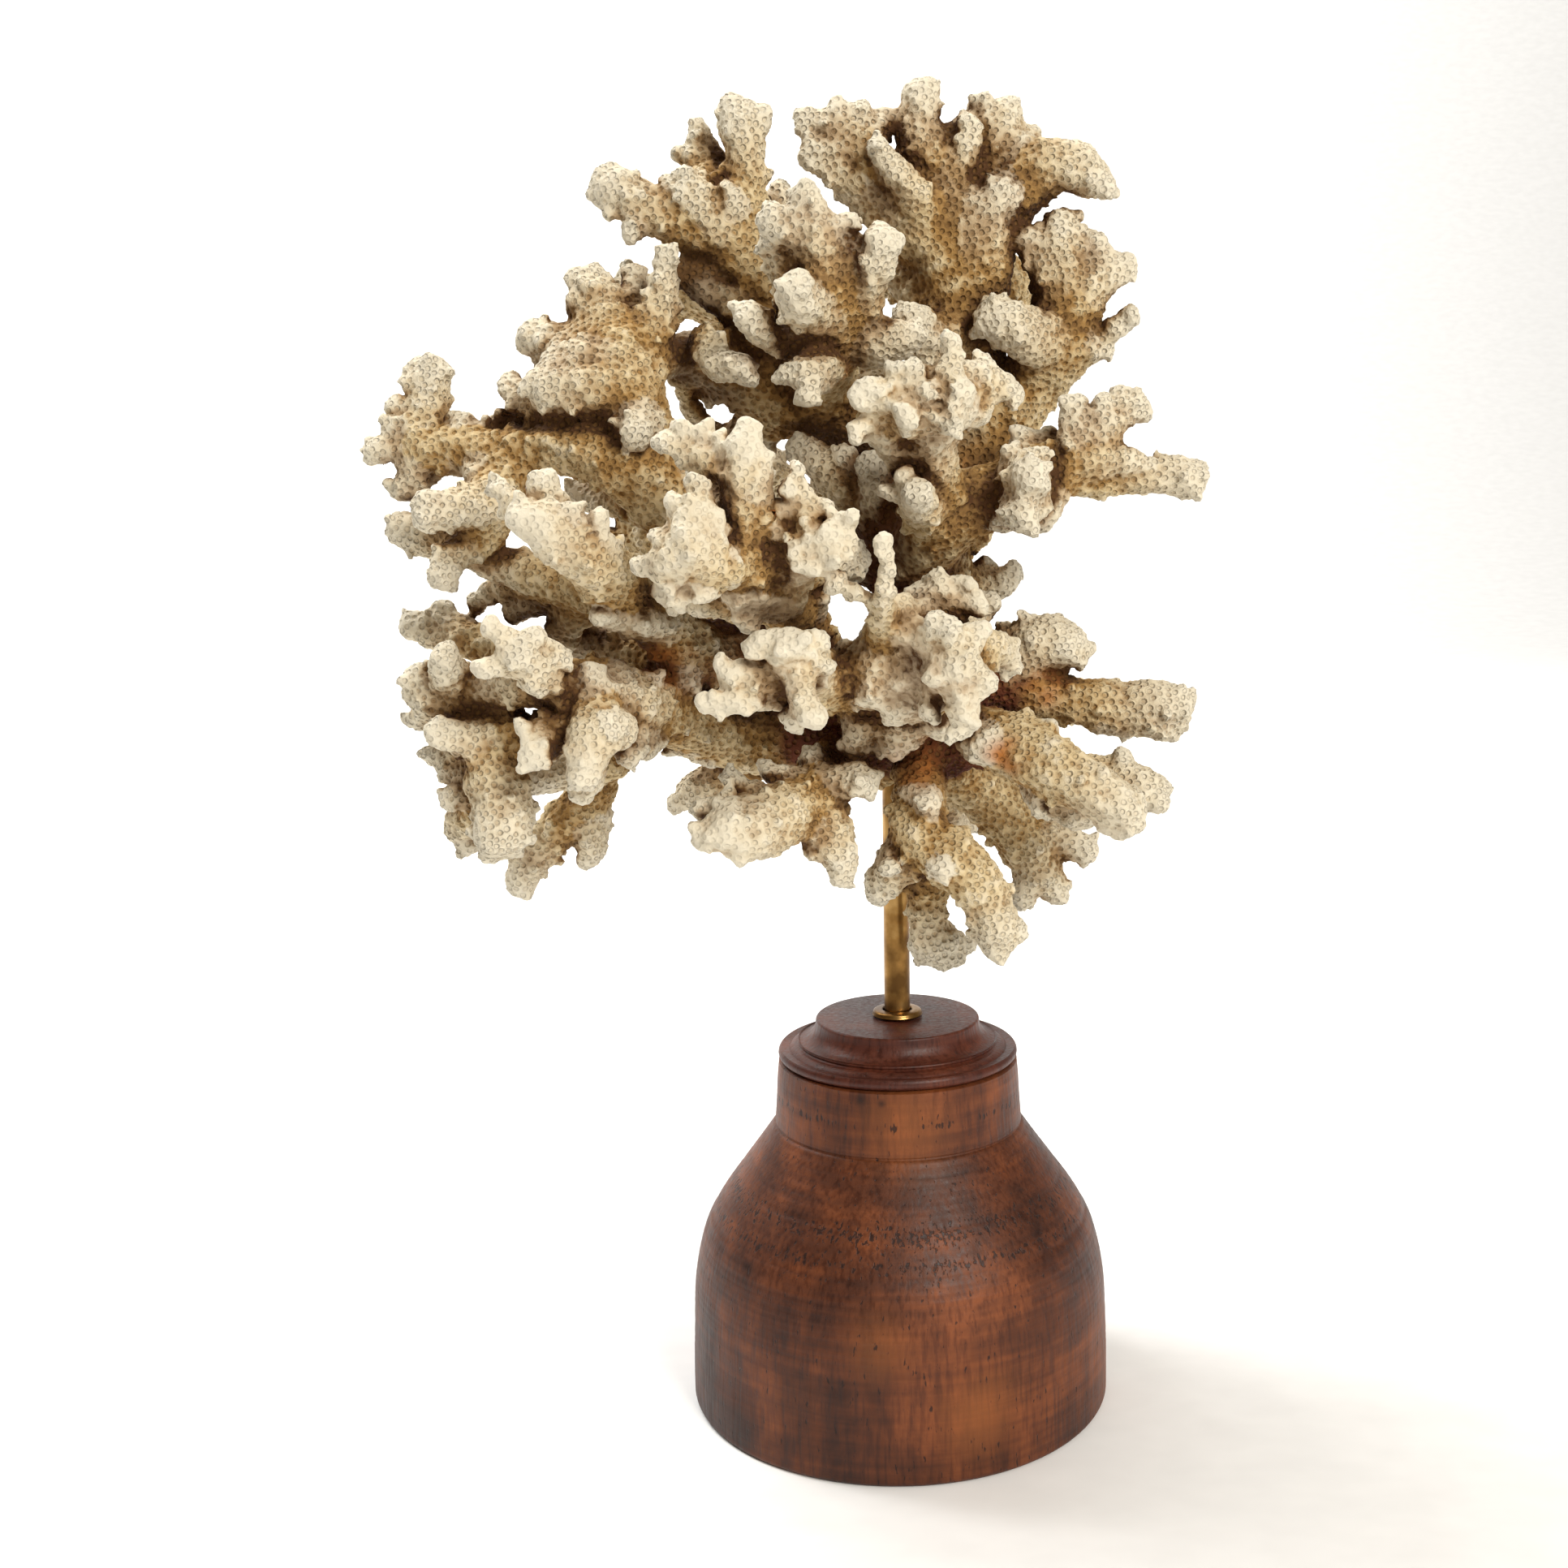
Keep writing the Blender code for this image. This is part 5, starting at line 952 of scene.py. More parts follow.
def carveSkin(grid):
    # the whole coral as one skin, with its pores pressed in
    verts, faces = skinOf(grid)
    verts = relaxed(verts, faces, coral["relax"])
    normals = vertexNormals(verts, faces)
    slow, quick = coral["swellSizes"]
    uneven = slowNoise(verts, slow) + 0.5 * slowNoise(verts + 30, quick)
    lumpy = np.abs(slowNoise(verts + 90, coral["lumpSize"])) - 0.16
    verts = verts + normals * (coral["swell"] * uneven + coral["lumps"] * lumpy)[:, None]
    normals = vertexNormals(verts, faces)
    centre, gap, nearTwo = placePores(verts, faces)
    pores = {"poreMiddle": verts[nearTwo[:, 0]] * mm, "poreAxis": normals[nearTwo[:, 0]],
             "nextMiddle": verts[nearTwo[:, 1]] * mm, "nextAxis": normals[nearTwo[:, 1]]}
    toTip = grid.sample(grid.tip, verts)
    worn = wornAndHighlightShare(verts, toTip)
    strength = 1 - 0.62 * worn
    verts = pressPores(verts, normals, centre, gap, strength)
    looks = {"strength": strength, "worn": worn, "tip": np.clip(1 - toTip / coral["paleTip"], 0, 1),
             **filmAndShadeMasks(grid, verts, normals)}
    return verts, faces, looks, pores


def capLoops(faces):
    # the loops of open edges round a set of faces, each turned so that a cap faces out
    count = int(faces.max()) + 1
    here = faces.ravel().astype(np.int64)
    there = np.roll(faces, -1, axis=1).ravel().astype(np.int64)
    edges = np.unique(here * count + there)
    lone = edges[~np.isin(edges, there * count + here)]
    following = {}
    for edge in lone.tolist():
        following.setdefault(edge % count, []).append(edge // count)
    loops = []
    while following:
        start = next(iter(following))
        loop = [start]
        while loop[-1] in following:
            step = following[loop[-1]].pop()
            if not following[loop[-1]]:
                del following[loop[-1]]
            if step == start:
                break
            loop.append(step)
        loops.append(loop)
    return loops


def addCap(loop, points, pointNormals, polygons):
    # a wall that goes in under the neighbour's skin, then a fan whose middle lies deep
    # enough that it can't come out where the skin is hollow
    first = len(points)
    inner = [tuple(np.array(points[i]) - coral["capWall"] * mm * np.array(pointNormals[i])) for i in loop]
    facing = np.mean([pointNormals[i] for i in loop], axis=0)
    points += inner + [tuple(np.mean(inner, axis=0) - coral["capDepth"] * mm * facing)]
    pointNormals += [pointNormals[i] for i in loop] + [[0, 0, 1]]
    sides = [(k, (k + 1) % len(loop)) for k in range(len(loop))]
    polygons += [(loop[k], loop[n], first + n, first + k) for k, n in sides]
    polygons += [(first + k, first + n, len(points) - 1) for k, n in sides]


def splitSkin(grid, verts, faces, looks, pores, finish):
    # each bough gets its own part of the skin, closed where it meets its neighbours
    owner = np.sort(grid.sample(grid.bough, verts)[faces], axis=1)[:, 1]
    normals = vertexNormals(verts, faces)
    pieces = []
    for number, name in enumerate(boughs):
        mine = faces[owner == number]
        used, local = np.unique(mine, return_inverse=True)
        local = local.reshape(mine.shape)
        points = [tuple(co) for co in verts[used] * mm]
        polygons = [tuple(face) for face in local.tolist()]
        pointNormals = normals[used].tolist()
        for loop in capLoops(local):
            if len(loop) > 2:
                addCap(loop, points, pointNormals, polygons)
        mesh = bpy.data.meshes.new(name + "_skin")
        mesh.from_pydata(points, [], polygons)
        for key, values in looks.items():
            whole = np.full(len(points), 0.5, np.float32)
            whole[:len(used)] = values[used]
            mesh.attributes.new(key, "FLOAT", "POINT").data.foreach_set("value", whole)
        for key, values in pores.items():
            whole = np.zeros((len(polygons), 3), np.float32)
            whole[:len(mine)] = values[owner == number]
            mesh.attributes.new(key, "FLOAT_VECTOR", "FACE").data.foreach_set("vector", whole.ravel())
        mesh.shade_smooth()
        mesh.normals_split_custom_set_from_vertices(pointNormals)
        mesh.materials.append(finish)
        piece = bpy.data.objects.new(name + "_skin", mesh)
        bpy.context.scene.collection.objects.link(piece)
        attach(piece, "root")
        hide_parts(name)
        pieces.append(piece)
    return pieces


def nearestPore(tree, place):
    # how far each spot lies from the line down the middle of the nearest pore, in
    # millimetres, a little more or less so that pores differ in width
    distances = []
    for middle, axis in (("poreMiddle", "poreAxis"), ("nextMiddle", "nextAxis")):
        centre = (addNode(tree, "Attribute", {"attribute_name": middle}), "Vector")
        line = (addNode(tree, "Attribute", {"attribute_name": axis}), "Vector")
        offset = addNode(tree, "VectorMath", {"operation": "SUBTRACT"}, in0=place, in1=centre)
        rise = addNode(tree, "VectorMath", {"operation": "DOT_PRODUCT"}, in0=offset, in1=line)
        along = addNode(tree, "VectorMath", {"operation": "SCALE"}, in0=line, in3=(rise, "Value"))
        flat = addNode(tree, "VectorMath", {"operation": "SUBTRACT"}, in0=offset, in1=along)
        length = addNode(tree, "VectorMath", {"operation": "LENGTH"}, in0=flat)
        width = addNode(tree, "TexWhiteNoise", in0=centre)
        narrow, wide = coral["poreWidths"]
        scale = addNode(tree, "MapRange", in0=width, in3=narrow / mm, in4=wide / mm)
        distances.append(addNode(tree, "Math", {"operation": "MULTIPLY"}, in0=(length, "Value"), in1=scale))
    return addNode(tree, "Math", {"operation": "MINIMUM"}, in0=distances[0], in1=distances[1])


# Lime skeleton of a reef coral, bleached and dried: matte and chalky, warmer where the pores
# are open, brown with old film and painted shade in hollows, painted highlight on front ends
def limeSkeletonMaterial():
    made, tree = newMaterial("lime_skeleton_bleached")
    mask = {key: (addNode(tree, "Attribute", {"attribute_name": key}), "Fac")
            for key in ("orange", "strength", "worn", "hollow", "stain", "tip")}
    place = (addNode(tree, "TexCoord"), "Object")
    cloud = addNode(tree, "TexNoise", in0=place, Scale=noiseScale(coral["patches"]), Detail=3.0)
    mottle = addNode(tree, "TexNoise", in0=place, Scale=noiseScale(coral["mottling"]), Detail=4.0)
    grit = addNode(tree, "TexNoise", in0=place, Scale=noiseScale(coral["grains"]), Detail=3.0)
    # tan to cream by how open the skin lies: the tan and brown in the hollows are painted shade
    depth = addNode(tree, "Math", {"operation": "MULTIPLY_ADD"}, in0=mottle, in1=0.3, in2=mask["hollow"])
    patchy = addNode(tree, "Math", {"operation": "MULTIPLY_ADD"}, in0=cloud, in1=0.36, in2=depth)
    skin = addNode(tree, "ValToRGB", {"stops": coral["skinShadeColours"]}, in0=patchy)
    # chalk white on the branch tips and on the worn ends, where it is also a painted highlight; less so in
    # the hollows, which keep their painted shade
    chalk = addNode(tree, "Math", {"operation": "MAXIMUM"}, in0=mask["worn"], in1=mask["tip"])
    opened = addNode(tree, "MapRange", in0=depth, in1=0.62, in2=0.28, in3=0.0, in4=0.75)
    chalkShare = addNode(tree, "Math", {"operation": "MULTIPLY"}, in0=chalk, in1=opened)
    whitened = addNode(tree, "Mix", {"data_type": "RGBA"}, in0=chalkShare, in6=skin,
                       in7=coral["chalkColour"])
    # brown film in the deep forks, and painted shade in the hollows and dark places between the boughs
    filmAndShade = addNode(tree, "ValToRGB", {"stops": [(0.25, 0.0), (0.75, 1.0)]}, in0=mask["stain"])
    height = addNode(tree, "SeparateXYZ", in0=place)
    low, high = coral["filmAndShadeHeights"]
    upper = addNode(tree, "MapRange", in0=(height, "Z"), in1=low * mm, in2=high * mm)
    maroon = addNode(tree, "ValToRGB", {"stops": coral["lowFilmAndShade"]}, in0=cloud)
    filmAndShadeColour = addNode(tree, "Mix", {"data_type": "RGBA"}, in0=upper, in6=maroon, in7=coral["highFilmAndShade"])
    stainedAndShaded = addNode(tree, "Mix", {"data_type": "RGBA"}, in0=filmAndShade, in6=(whitened, 2), in7=(filmAndShadeColour, 2))
    grown = addNode(tree, "Mix", {"data_type": "RGBA"}, in0=mask["orange"], in6=(stainedAndShaded, 2),
                    in7=coral["orangeColour"])
    # the pore's mouth: tan in its cup, darker in hollows as painted shade, pale on its rim
    wobble = addNode(tree, "Math", {"operation": "MULTIPLY_ADD"}, in0=mottle, in1=0.22,
                     in2=nearestPore(tree, place))
    cup = addNode(tree, "ValToRGB", {"stops": [(0.50, 1.0), (0.72, 0.0)]}, in0=wobble)
    cupShare = addNode(tree, "Math", {"operation": "MULTIPLY"}, in0=cup, in1=mask["strength"])
    tint = addNode(tree, "MapRange", in0=depth, in1=0.25, in2=0.85, in3=0.10, in4=0.50)
    cupDepth = addNode(tree, "Math", {"operation": "MULTIPLY"}, in0=cupShare, in1=tint)
    coloured = addNode(tree, "Mix", {"data_type": "RGBA"}, in0=cupDepth, in6=(grown, 2),
                       in7=coral["cupColour"])
    profile = addNode(tree, "ValToRGB", {"stops": [(0.0, 0.0), (0.44, 0.10), (0.64, 0.80), (0.76, 1.0),
                                                   (0.94, 0.8)]}, in0=wobble)
    mouth = addNode(tree, "Math", {"operation": "MULTIPLY"}, in0=profile, in1=mask["strength"])
    edge = addNode(tree, "Bump", Strength=1.0, Distance=0.45 * mm, Height=mouth)
    grainy = addNode(tree, "Bump", Strength=0.4, Distance=0.2 * mm, Height=grit, Normal=edge)
    lumpy = addNode(tree, "Bump", Strength=0.5, Distance=0.6 * mm, Height=mottle, Normal=grainy)
    shader = addNode(tree, "BsdfPrincipled", **{
        "Base Color": (coloured, 2), "Normal": lumpy, "Roughness": 0.9, "IOR": 1.53,
        "Specular IOR Level": 0.25})
    addNode(tree, "OutputMaterial", Surface=shader)
    return made


print("growing the coral")
skinGrid = growSkin()
skinVerts, skinFaces, skinLooks, skinPores = carveSkin(skinGrid)
coralPieces = splitSkin(skinGrid, skinVerts, skinFaces, skinLooks, skinPores, limeSkeletonMaterial())
print("coral done:", len(skinVerts), "vertices in", len(coralPieces), "pieces")


# The stand

stand = {
    "footRadius": 41.0,
    "shoulder": [(40.9, 10), (40.55, 20), (40.12, 25), (39.21, 30), (37.64, 35), (34.79, 40),
                 (31.22, 45), (27.57, 50), (24.6, 54.2)],       # radius and height
    "grooves": [(37.2, 0.16, 0.35), (44.6, 0.10, 0.3)],         # height, depth and width
    "scoredLine": [(23.85, 55.1), (23.95, 54.8), (24.35, 54.6)],
    "collar": [(23.15, 67.2), (23.45, 64.0), (23.7, 60.0), (23.95, 56.6), (24.05, 55.4)],
    "collarTop": 67.5,
    "capFoot": 67.62,
    "capTop": 75.4,
    "capRadius": 23.2,
    "tableRadius": 15.4,         # the flat round the flange
    "rodRadius": 2.5,
    "rodFoot": 55.0,
    "rodTop": 131.5,
    "flangeRadius": 4.9,
    "flangeHeight": 1.1,
    "gap": 0.35,                 # between rod, flange, cap and body, as in the solids
    "steps": 128,
    "bodyMarks": (0.05, 1.3),    # depth and spacing of the turning marks
    "collarMarks": (0.02, 0.9),
}
# Sizes of the wood's patterns, its colours from dark to light, and its marks. A spot has
# its place, radius and strength, and a band of torn grain its height and half width.
wood = {
    "fibres": 0.77,              # 8 mm long
    "streaks": 3.85,
    "clouds": 29.4,
    "rings": 1.54,
    "blotches": 17.2,
    "vessels": 0.667,
    "smoke": "#33180f",
    "warm": "#a5602c",
    "soot": "#1d0e0a",
    "openGrain": "#1f0f0a",
    "body": {
        "colours": [(0.62, "#34190e"), (0.80, "#582d16"), (0.98, "#7e4422")],
        "roughness": 0.48,
        "blotchy": 0.6,
        "torn": [(43.5, 2.6), (39.0, 1.6), (61.0, 1.0)],
        "smudges": [(-24, -24, 49, 5, 0.75), (-30, -17, 44, 4, 0.6), (-34, -22, 30, 7, 0.55),
                    (-19, -36, 15, 8, 0.6), (-11, -39, 17, 4, 0.6), (-30, -28, 5, 9, 0.6),
                    (-7, -22.5, 66, 1.8, 0.9), (-3, -23, 65.5, 1.2, 0.8), (9, -23, 66.8, 0.9, 0.7),
                    (22, -20, 47, 3.5, 0.5), (26, -22, 42, 3, 0.6), (8, -30, 46, 4, 0.4),
                    (12, 28, 44, 6, 0.6), (-20, 34, 20, 9, 0.5), (36, 18, 14, 7, 0.5)],
        "warmPatches": [(14, -38, 13, 12, 0.45), (2, -24, 61, 12, 0.35), (-3, -38, 26, 9, 0.3),
                        (10, 38, 24, 13, 0.4), (-38, 10, 12, 10, 0.35)],
    },
    "cap": {
        "colours": [(0.62, "#341610"), (0.80, "#4a2216"), (0.98, "#66331f")],
        "roughness": 0.42,
        "blotchy": 0.2,
        "torn": [],
        "smudges": [],
        "warmPatches": [],
    },
}
brass = {
    "drawingLines": 0.417,
    "patina": 6.25,
    "colours": [(0.36, "#5f4424"), (0.52, "#8e6a3a"), (0.68, "#b08c56")],
}


def arc(centreRadius, centreHeight, radius, start, stop, count=8):
    # a round stretch of an outline, from one angle to another
    turns = [math.radians(start + (stop - start) * i / count) for i in range(count + 1)]
    return [(centreRadius + radius * math.cos(turn), centreHeight + radius * math.sin(turn))
            for turn in turns]


def lathe(name, outline, node, finish, closed=False, steps=None, waver=0.0):
    # spins an outline of (radius, height) points, top to bottom, round the rod's line
    steps = steps or stand["steps"]
    points, rings = [], []
    for radius, height in outline:
        if radius < 0.001:
            rings.append([len(points)] * steps)
            points.append((0, 0, height * mm))
            continue
        rings.append(list(range(len(points), len(points) + steps)))
        for i in range(steps):
            angle = 2 * math.pi * i / steps
            out = radius + waver * noise.noise(Vector((math.cos(angle), math.sin(angle), height / 9)))
            points.append((out * math.cos(angle) * mm, out * math.sin(angle) * mm, height * mm))
    polygons = []
    pairs = list(zip(rings, rings[1:]))
    if closed:
        pairs.append((rings[-1], rings[0]))
    for upper, lower in pairs:
        for i in range(steps):
            j = (i + 1) % steps
            corners = [upper[i], lower[i], lower[j], upper[j]]
            face = [c for k, c in enumerate(corners) if c != corners[k - 1]]
            if len(face) > 2:
                polygons.append(tuple(face))
    mesh = bpy.data.meshes.new(name)
    mesh.from_pydata(points, [], polygons)
    mesh.shade_smooth()
    mesh.set_sharp_from_angle(angle=math.radians(38))
    mesh.materials.append(finish)
    piece = bpy.data.objects.new(name, mesh)
    bpy.context.scene.collection.objects.link(piece)
    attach(piece, "root")
    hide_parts(node)
    return piece


def smoothOutline(points, count):
    # a flowing curve through (radius, height) points
    ends = [points[0]] + points + [points[-1]]
    line = []
    for a, b, c, d in zip(ends, ends[1:], ends[2:], ends[3:]):
        for k in range(count):
            t = k / count
            line.append(tuple(0.5 * (2 * q + (r - p) * t + (2 * p - 5 * q + 4 * r - s) * t * t
                                     + (3 * q - p - 3 * r + s) * t ** 3)
                              for p, q, r, s in zip(a, b, c, d)))
    return line + [points[-1]]


def toolMarks(outline, marks):
    # shallow rings left by the turning tool
    depth, pitch = marks
    return [(radius - depth * (0.5 + 0.5 * math.sin(2 * math.pi * height / pitch)), height)
            for radius, height in outline]


def spotMask(tree, place, wander, spots):
    # soft ragged spots round given places on the wood
    masks = []
    for x, y, z, radius, strength in spots:
        offset = addNode(tree, "VectorMath", {"operation": "SUBTRACT"}, in0=place,
                         in1=(x * mm, y * mm, z * mm))
        away = addNode(tree, "VectorMath", {"operation": "LENGTH"}, in0=offset)
        ragged = addNode(tree, "Math", {"operation": "MULTIPLY_ADD"}, in0=wander, in1=1.3 * radius * mm,
                         in2=(away, "Value"))
        masks.append(addNode(tree, "MapRange", {"interpolation_type": "SMOOTHSTEP"}, in0=ragged,
                             in1=1.7 * radius * mm, in2=0.6 * radius * mm, in3=0.0, in4=strength))
    return strongest(tree, masks)


def tornMask(tree, place, bands):
    # soft level bands at given heights
    height = addNode(tree, "SeparateXYZ", in0=place)
    masks = []
    for middle, half in bands:
        rise = addNode(tree, "Math", {"operation": "SUBTRACT"}, in0=(height, "Z"), in1=middle * mm)
        away = addNode(tree, "Math", {"operation": "ABSOLUTE"}, in0=rise)
        masks.append(addNode(tree, "MapRange", in0=away, in1=half * mm, in2=0.2 * half * mm,
                             in3=0.0, in4=0.13))
    return strongest(tree, masks)


def strongest(tree, masks):
    total = masks[0]
    for mask in masks[1:]:
        total = addNode(tree, "Math", {"operation": "MAXIMUM"}, in0=total, in1=mask)
    return total


# Old hardwood, turned on a lathe and left dry: satin at most, with fine upright grain,
# turned rings on the shoulder, smoky blotches and flecks of torn end grain
def turnedWoodMaterial(name, look):
    made, tree = newMaterial(name)
    place = (addNode(tree, "TexCoord"), "Object")
    upright = addNode(tree, "Mapping", in0=place, Scale=(1.0, 1.0, 0.10))
    fibre = addNode(tree, "TexNoise", in0=upright, Scale=noiseScale(wood["fibres"]), Detail=4.0)
    streak = addNode(tree, "TexNoise", in0=upright, Scale=noiseScale(wood["streaks"]), Detail=3.0)
    cloud = addNode(tree, "TexNoise", in0=place, Scale=noiseScale(wood["clouds"]), Detail=5.0,
                    Roughness=0.62, Distortion=0.5)
    level = addNode(tree, "Mapping", in0=place, Scale=(0.05, 0.05, 1.0), Rotation=(0.03, -0.02, 0.0))
    rings = addNode(tree, "TexNoise", in0=level, Scale=noiseScale(wood["rings"]), Detail=4.0)
    tone = addNode(tree, "Math", {"operation": "MULTIPLY_ADD"}, in0=streak, in1=0.30, in2=cloud)
    ringed = addNode(tree, "Math", {"operation": "MULTIPLY_ADD"}, in0=rings, in1=0.30, in2=tone)
    colour = addNode(tree, "ValToRGB", {"stops": look["colours"]}, in0=ringed)
    fine = addNode(tree, "ValToRGB", {"stops": [(0.36, "#86685a"), (0.54, "#ffffff")]}, in0=fibre)
    grained = addNode(tree, "Mix", {"data_type": "RGBA", "blend_type": "MULTIPLY"}, in0=0.5,
                      in6=colour, in7=fine)
    # smoky blotches, warm patches and soot
    blotch = addNode(tree, "TexNoise", in0=place, Scale=noiseScale(wood["blotches"]), Detail=6.0,
                     Roughness=0.68, Distortion=0.3)
    blotched = addNode(tree, "ValToRGB", {"stops": [(0.54, 0.0), (0.74, 1.0)]}, in0=blotch)
    smoky = addNode(tree, "Math", {"operation": "MULTIPLY"}, in0=blotched, in1=look["blotchy"])
    layers = [(smoky, wood["smoke"])]
    if look["warmPatches"]:
        layers.append((spotMask(tree, place, cloud, look["warmPatches"]), wood["warm"]))
    if look["smudges"]:
        layers.append((spotMask(tree, place, blotch, look["smudges"]), wood["soot"]))
    # small open vessels, with more and darker flecks where the grain is torn
    vessel = addNode(tree, "Mapping", in0=place, Scale=(1.0, 1.0, 0.30))
    vessels = addNode(tree, "TexNoise", in0=vessel, Scale=noiseScale(wood["vessels"]), Detail=2.0)
    flecks = addNode(tree, "ValToRGB", {"stops": [(0.66, 0.0), (0.74, 0.6)]}, in0=vessels)
    if look["torn"]:
        patchy = addNode(tree, "Math", {"operation": "MULTIPLY"}, in0=tornMask(tree, place, look["torn"]),
                         in1=cloud)
        more = addNode(tree, "Math", {"operation": "MULTIPLY_ADD"}, in0=patchy, in1=2.0, in2=vessels)
        flecks = addNode(tree, "ValToRGB", {"stops": [(0.66, 0.0), (0.72, 0.85)]}, in0=more)
    layers.append((flecks, wood["openGrain"]))
    for share, hexColour in layers:
        grained = addNode(tree, "Mix", {"data_type": "RGBA"}, in0=share, in6=(grained, 2), in7=hexColour)
    rough = addNode(tree, "MapRange", in0=fibre, in1=0.3, in2=0.7, in3=look["roughness"] - 0.08,
                    in4=look["roughness"] + 0.12)
    pressed = addNode(tree, "Math", {"operation": "MULTIPLY_ADD"}, in0=flecks, in1=-1.2, in2=fibre)
    grainy = addNode(tree, "Bump", Strength=0.35, Distance=0.22 * mm, Height=pressed)
    turned = addNode(tree, "Bump", Strength=0.25, Distance=0.3 * mm, Height=rings, Normal=grainy)
    shader = addNode(tree, "BsdfPrincipled", **{
        "Base Color": (grained, 2), "Roughness": rough, "Normal": turned, "IOR": 1.5,
        "Specular IOR Level": 0.3})
    addNode(tree, "OutputMaterial", Surface=shader)
    return made


# Drawn brass rod and a pressed collar, brown with age where fingers don't reach
def agedBrassMaterial():
    made, tree = newMaterial("drawn_brass_aged")
    place = (addNode(tree, "TexCoord"), "Object")
    drawn = addNode(tree, "Mapping", in0=place, Scale=(1.0, 1.0, 0.05))
    lines = addNode(tree, "TexNoise", in0=drawn, Scale=noiseScale(brass["drawingLines"]), Detail=3.0)
    patina = addNode(tree, "TexNoise", in0=place, Scale=noiseScale(brass["patina"]), Detail=5.0)
    colour = addNode(tree, "ValToRGB", {"stops": brass["colours"]}, in0=patina)
    rough = addNode(tree, "MapRange", in0=patina, in3=0.42, in4=0.24)
    bump = addNode(tree, "Bump", Strength=0.2, Distance=0.06 * mm, Height=lines)
    shader = addNode(tree, "BsdfPrincipled", **{
        "Base Color": colour, "Roughness": rough, "Metallic": 1.0, "Normal": bump})
    addNode(tree, "OutputMaterial", Surface=shader)
    return made


def turnBody(hole):
    # from the bottom of the rod's hole over the collar and down the shoulder
    floor, top, foot = stand["rodFoot"] - stand["gap"], stand["collarTop"], stand["footRadius"]
    outline = [(0, floor), (hole, floor), (hole, top - 0.2), (hole + 0.2, top)]
    outline += [(stand["capRadius"] - 0.5, top)]
    outline += toolMarks(smoothOutline(stand["collar"], 8), stand["collarMarks"])
    outline += stand["scoredLine"]
    shoulder = smoothOutline(stand["shoulder"][::-1], 12)
    for middle, depth, width in stand["grooves"]:
        shoulder = [(radius - depth * math.exp(-((height - middle) / width) ** 2), height)
                    for radius, height in shoulder]
    outline += toolMarks(shoulder, stand["bodyMarks"])
    outline += [(foot, 4.0)] + arc(foot - 1.2, 1.2, 1.2, 0, -90, 6) + [(foot - 4, 0.0), (0, 0)]
    finish = turnedWoodMaterial("turned_hardwood_dry", wood["body"])
    lathe("wood_base_turned", outline, "wood_base", finish, waver=0.05)


def turnCap(hole):
    foot, top, edge = stand["capFoot"], stand["capTop"], stand["capRadius"]
    table = stand["tableRadius"]
    outline = [(hole, foot), (hole, top - 0.2), (hole + 0.2, top), (table, top)]
    outline += arc(table, top - 0.45, 0.45, 80, 0, 4)
    outline += arc(19.5, top - 0.7, 3.6, 186, 262, 10)                  # cove under the table's edge
    outline += [(19.3, 71.35)] + arc(19.0, 70.95, 0.35, 60, -60, 5)     # small step
    outline += arc(19.4, foot + 0.55, 2.2, 88, 40)
    outline += arc(edge - 1.15, foot + 1.2, 1.15, 55, -60)
    outline += [(edge - 0.9, foot)]
    finish = turnedWoodMaterial("turned_fruitwood_waxed", wood["cap"])
    lathe("wood_cap_turned", outline, "wood_cap", finish, closed=True, waver=0.03)


def makeBrass(hole):
    finish = agedBrassMaterial()
    seat, rim, thick = stand["capTop"] + stand["gap"], stand["flangeRadius"], stand["flangeHeight"]
    flange = [(hole, seat), (hole, seat + thick - 0.15), (hole + 0.15, seat + thick)]
    flange += [(rim - 1.3, seat + thick)]
    flange += arc(rim - 0.75, seat + 0.45, 0.6, 75, 0, 6)
    flange += [(rim, seat + 0.2), (rim - 0.15, seat)]
    lathe("brass_flange_pressed", flange, "brass_flange", finish, closed=True, steps=96)
    radius, top, foot = stand["rodRadius"], stand["rodTop"], stand["rodFoot"]
    rod = [(0, top), (radius - 0.2, top), (radius, top - 0.2)]
    rod += [(radius, top - 3 * i) for i in range(1, 26)]
    rod += [(radius, foot), (0, foot)]
    lathe("brass_rod_drawn", rod, "brass_rod", finish, steps=64, waver=0.015)


rodHole = stand["rodRadius"] + stand["gap"]
turnBody(rodHole)
turnCap(rodHole)
makeBrass(rodHole)
print("stand turned")


# Floor, light and camera

camera = {
    "eye": (0.0, -339.5, 175.1),     # millimetres
    "pitch": -9.06,                  # degrees, down
    "roll": -0.53,
    "focal": 2224.0,                 # in pixels of the photograph's frame
    "frame": 1932.0,                 # the frame's width in pixels
    "aim": 1103.0,                   # the pixel column that the lens points at
}
# Places and sizes in metres, power in watts
lamps = {
    "key": {"place": (0.62, -0.95, 0.85), "aim": (0, 0, 0.13), "size": 0.55, "power": 16.5,
            "colour": "#fffaf2"},
    "top": {"place": (-0.15, 0.1, 1.2), "aim": (0, 0, 0.13), "size": 0.8, "power": 4.0,
            "colour": "#ffffff"},
    "backdrop": {"place": (-0.9, 0.55, 1.5), "aim": (0, 2.2, 0.4), "size": 1.2, "power": 60.0,
                 "colour": "#ffffff"},
}
sky = {"strength": 0.235, "colour": "#fff3e2"}
# A sweep of pale paper in metres: flat under the stand, curving up far behind it
paper = {
    "side": 6.0,
    "front": -6.0,
    "back": 1.6,
    "bend": 0.9,
    "top": 5.0,
    "colours": [(0.3, "#f1f1f0"), (0.7, "#f6f6f5")],
}


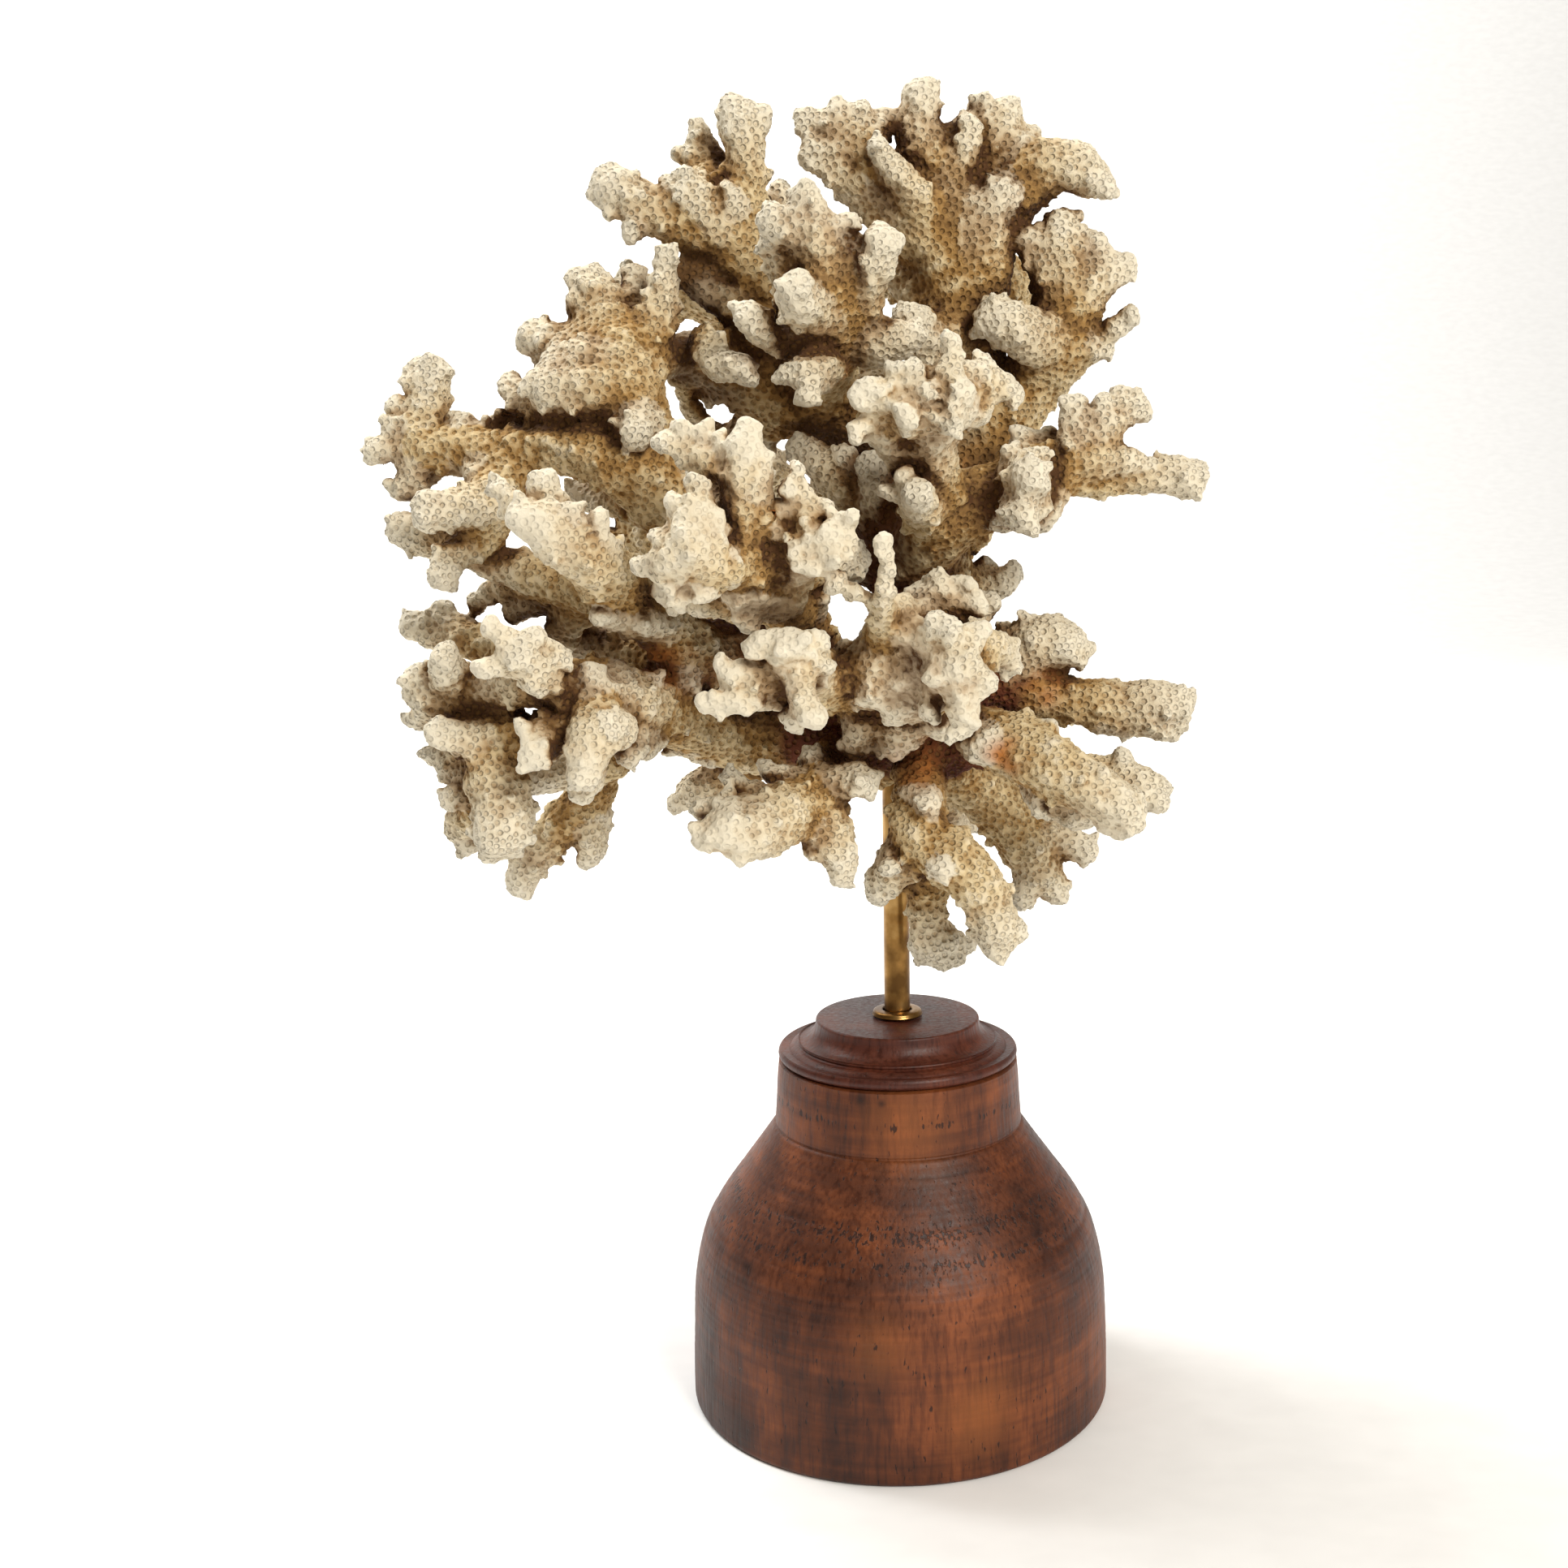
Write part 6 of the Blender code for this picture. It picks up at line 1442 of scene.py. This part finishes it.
# Matte paper: an even pale grey-white with hardly any cloud in it
def palePaperMaterial():
    made, tree = newMaterial("pale_paper_matte")
    cloud = addNode(tree, "TexNoise", Scale=900.0, Detail=2.0)     # 13 mm on a sheet 12 m wide
    tone = addNode(tree, "ValToRGB", {"stops": paper["colours"]}, in0=cloud)
    shader = addNode(tree, "BsdfPrincipled", **{"Base Color": tone, "Roughness": 0.9})
    addNode(tree, "OutputMaterial", Surface=shader)
    return made


def makeFloor():
    back, bend = paper["back"], paper["bend"]
    turns = [math.radians(a) for a in range(6, 91, 6)]
    line = [(paper["front"], 0.0), (back, 0.0)]
    line += [(back + bend * math.sin(turn), bend - bend * math.cos(turn)) for turn in turns]
    line += [(back + bend, paper["top"])]
    points = [(x, y, z) for y, z in line for x in (-paper["side"], paper["side"])]
    mesh = bpy.data.meshes.new("floor")
    mesh.from_pydata(points, [], [(i, i + 1, i + 3, i + 2) for i in range(0, len(points) - 2, 2)])
    mesh.shade_smooth()
    mesh.materials.append(palePaperMaterial())
    floor = bpy.data.objects.new("floor", mesh)
    bpy.context.scene.collection.objects.link(floor)


def lightScene():
    for name, settings in lamps.items():
        lamp = bpy.data.lights.new(name, "AREA")
        lamp.size = settings["size"]
        lamp.energy = settings["power"]
        lamp.color = toLinear(settings["colour"])[:3]
        item = bpy.data.objects.new(name, lamp)
        item.location = settings["place"]
        ahead = Vector(settings["aim"]) - item.location
        item.rotation_euler = ahead.to_track_quat("-Z", "Y").to_euler()
        bpy.context.scene.collection.objects.link(item)
    world = bpy.data.worlds.new("studio")
    world.use_nodes = True
    background = world.node_tree.nodes["Background"]
    background.inputs["Color"].default_value = toLinear(sky["colour"])
    background.inputs["Strength"].default_value = sky["strength"]
    bpy.context.scene.world = world


def placeCamera():
    pitch, roll = math.radians(camera["pitch"]), math.radians(camera["roll"])
    ahead = Vector((0, math.cos(pitch), math.sin(pitch)))
    right = Vector((1, 0, 0))
    up = right.cross(ahead)
    right, up = right * math.cos(roll) + up * math.sin(roll), up * math.cos(roll) - right * math.sin(roll)
    lens = bpy.data.cameras.new("camera")
    lens.sensor_width = 36.0
    lens.lens = camera["focal"] / camera["frame"] * lens.sensor_width
    lens.shift_x = 0.5 - camera["aim"] / camera["frame"]
    lens.clip_start = 0.01
    item = bpy.data.objects.new("camera", lens)
    matrix = Matrix((right, up, -ahead)).transposed().to_4x4()
    matrix.translation = Vector(camera["eye"]) * mm
    item.matrix_world = matrix
    bpy.context.scene.collection.objects.link(item)
    bpy.context.scene.camera = item


bpy.context.scene.view_settings.view_transform = "Standard"
makeFloor()
lightScene()
placeCamera()
print("floor, lights and camera placed")
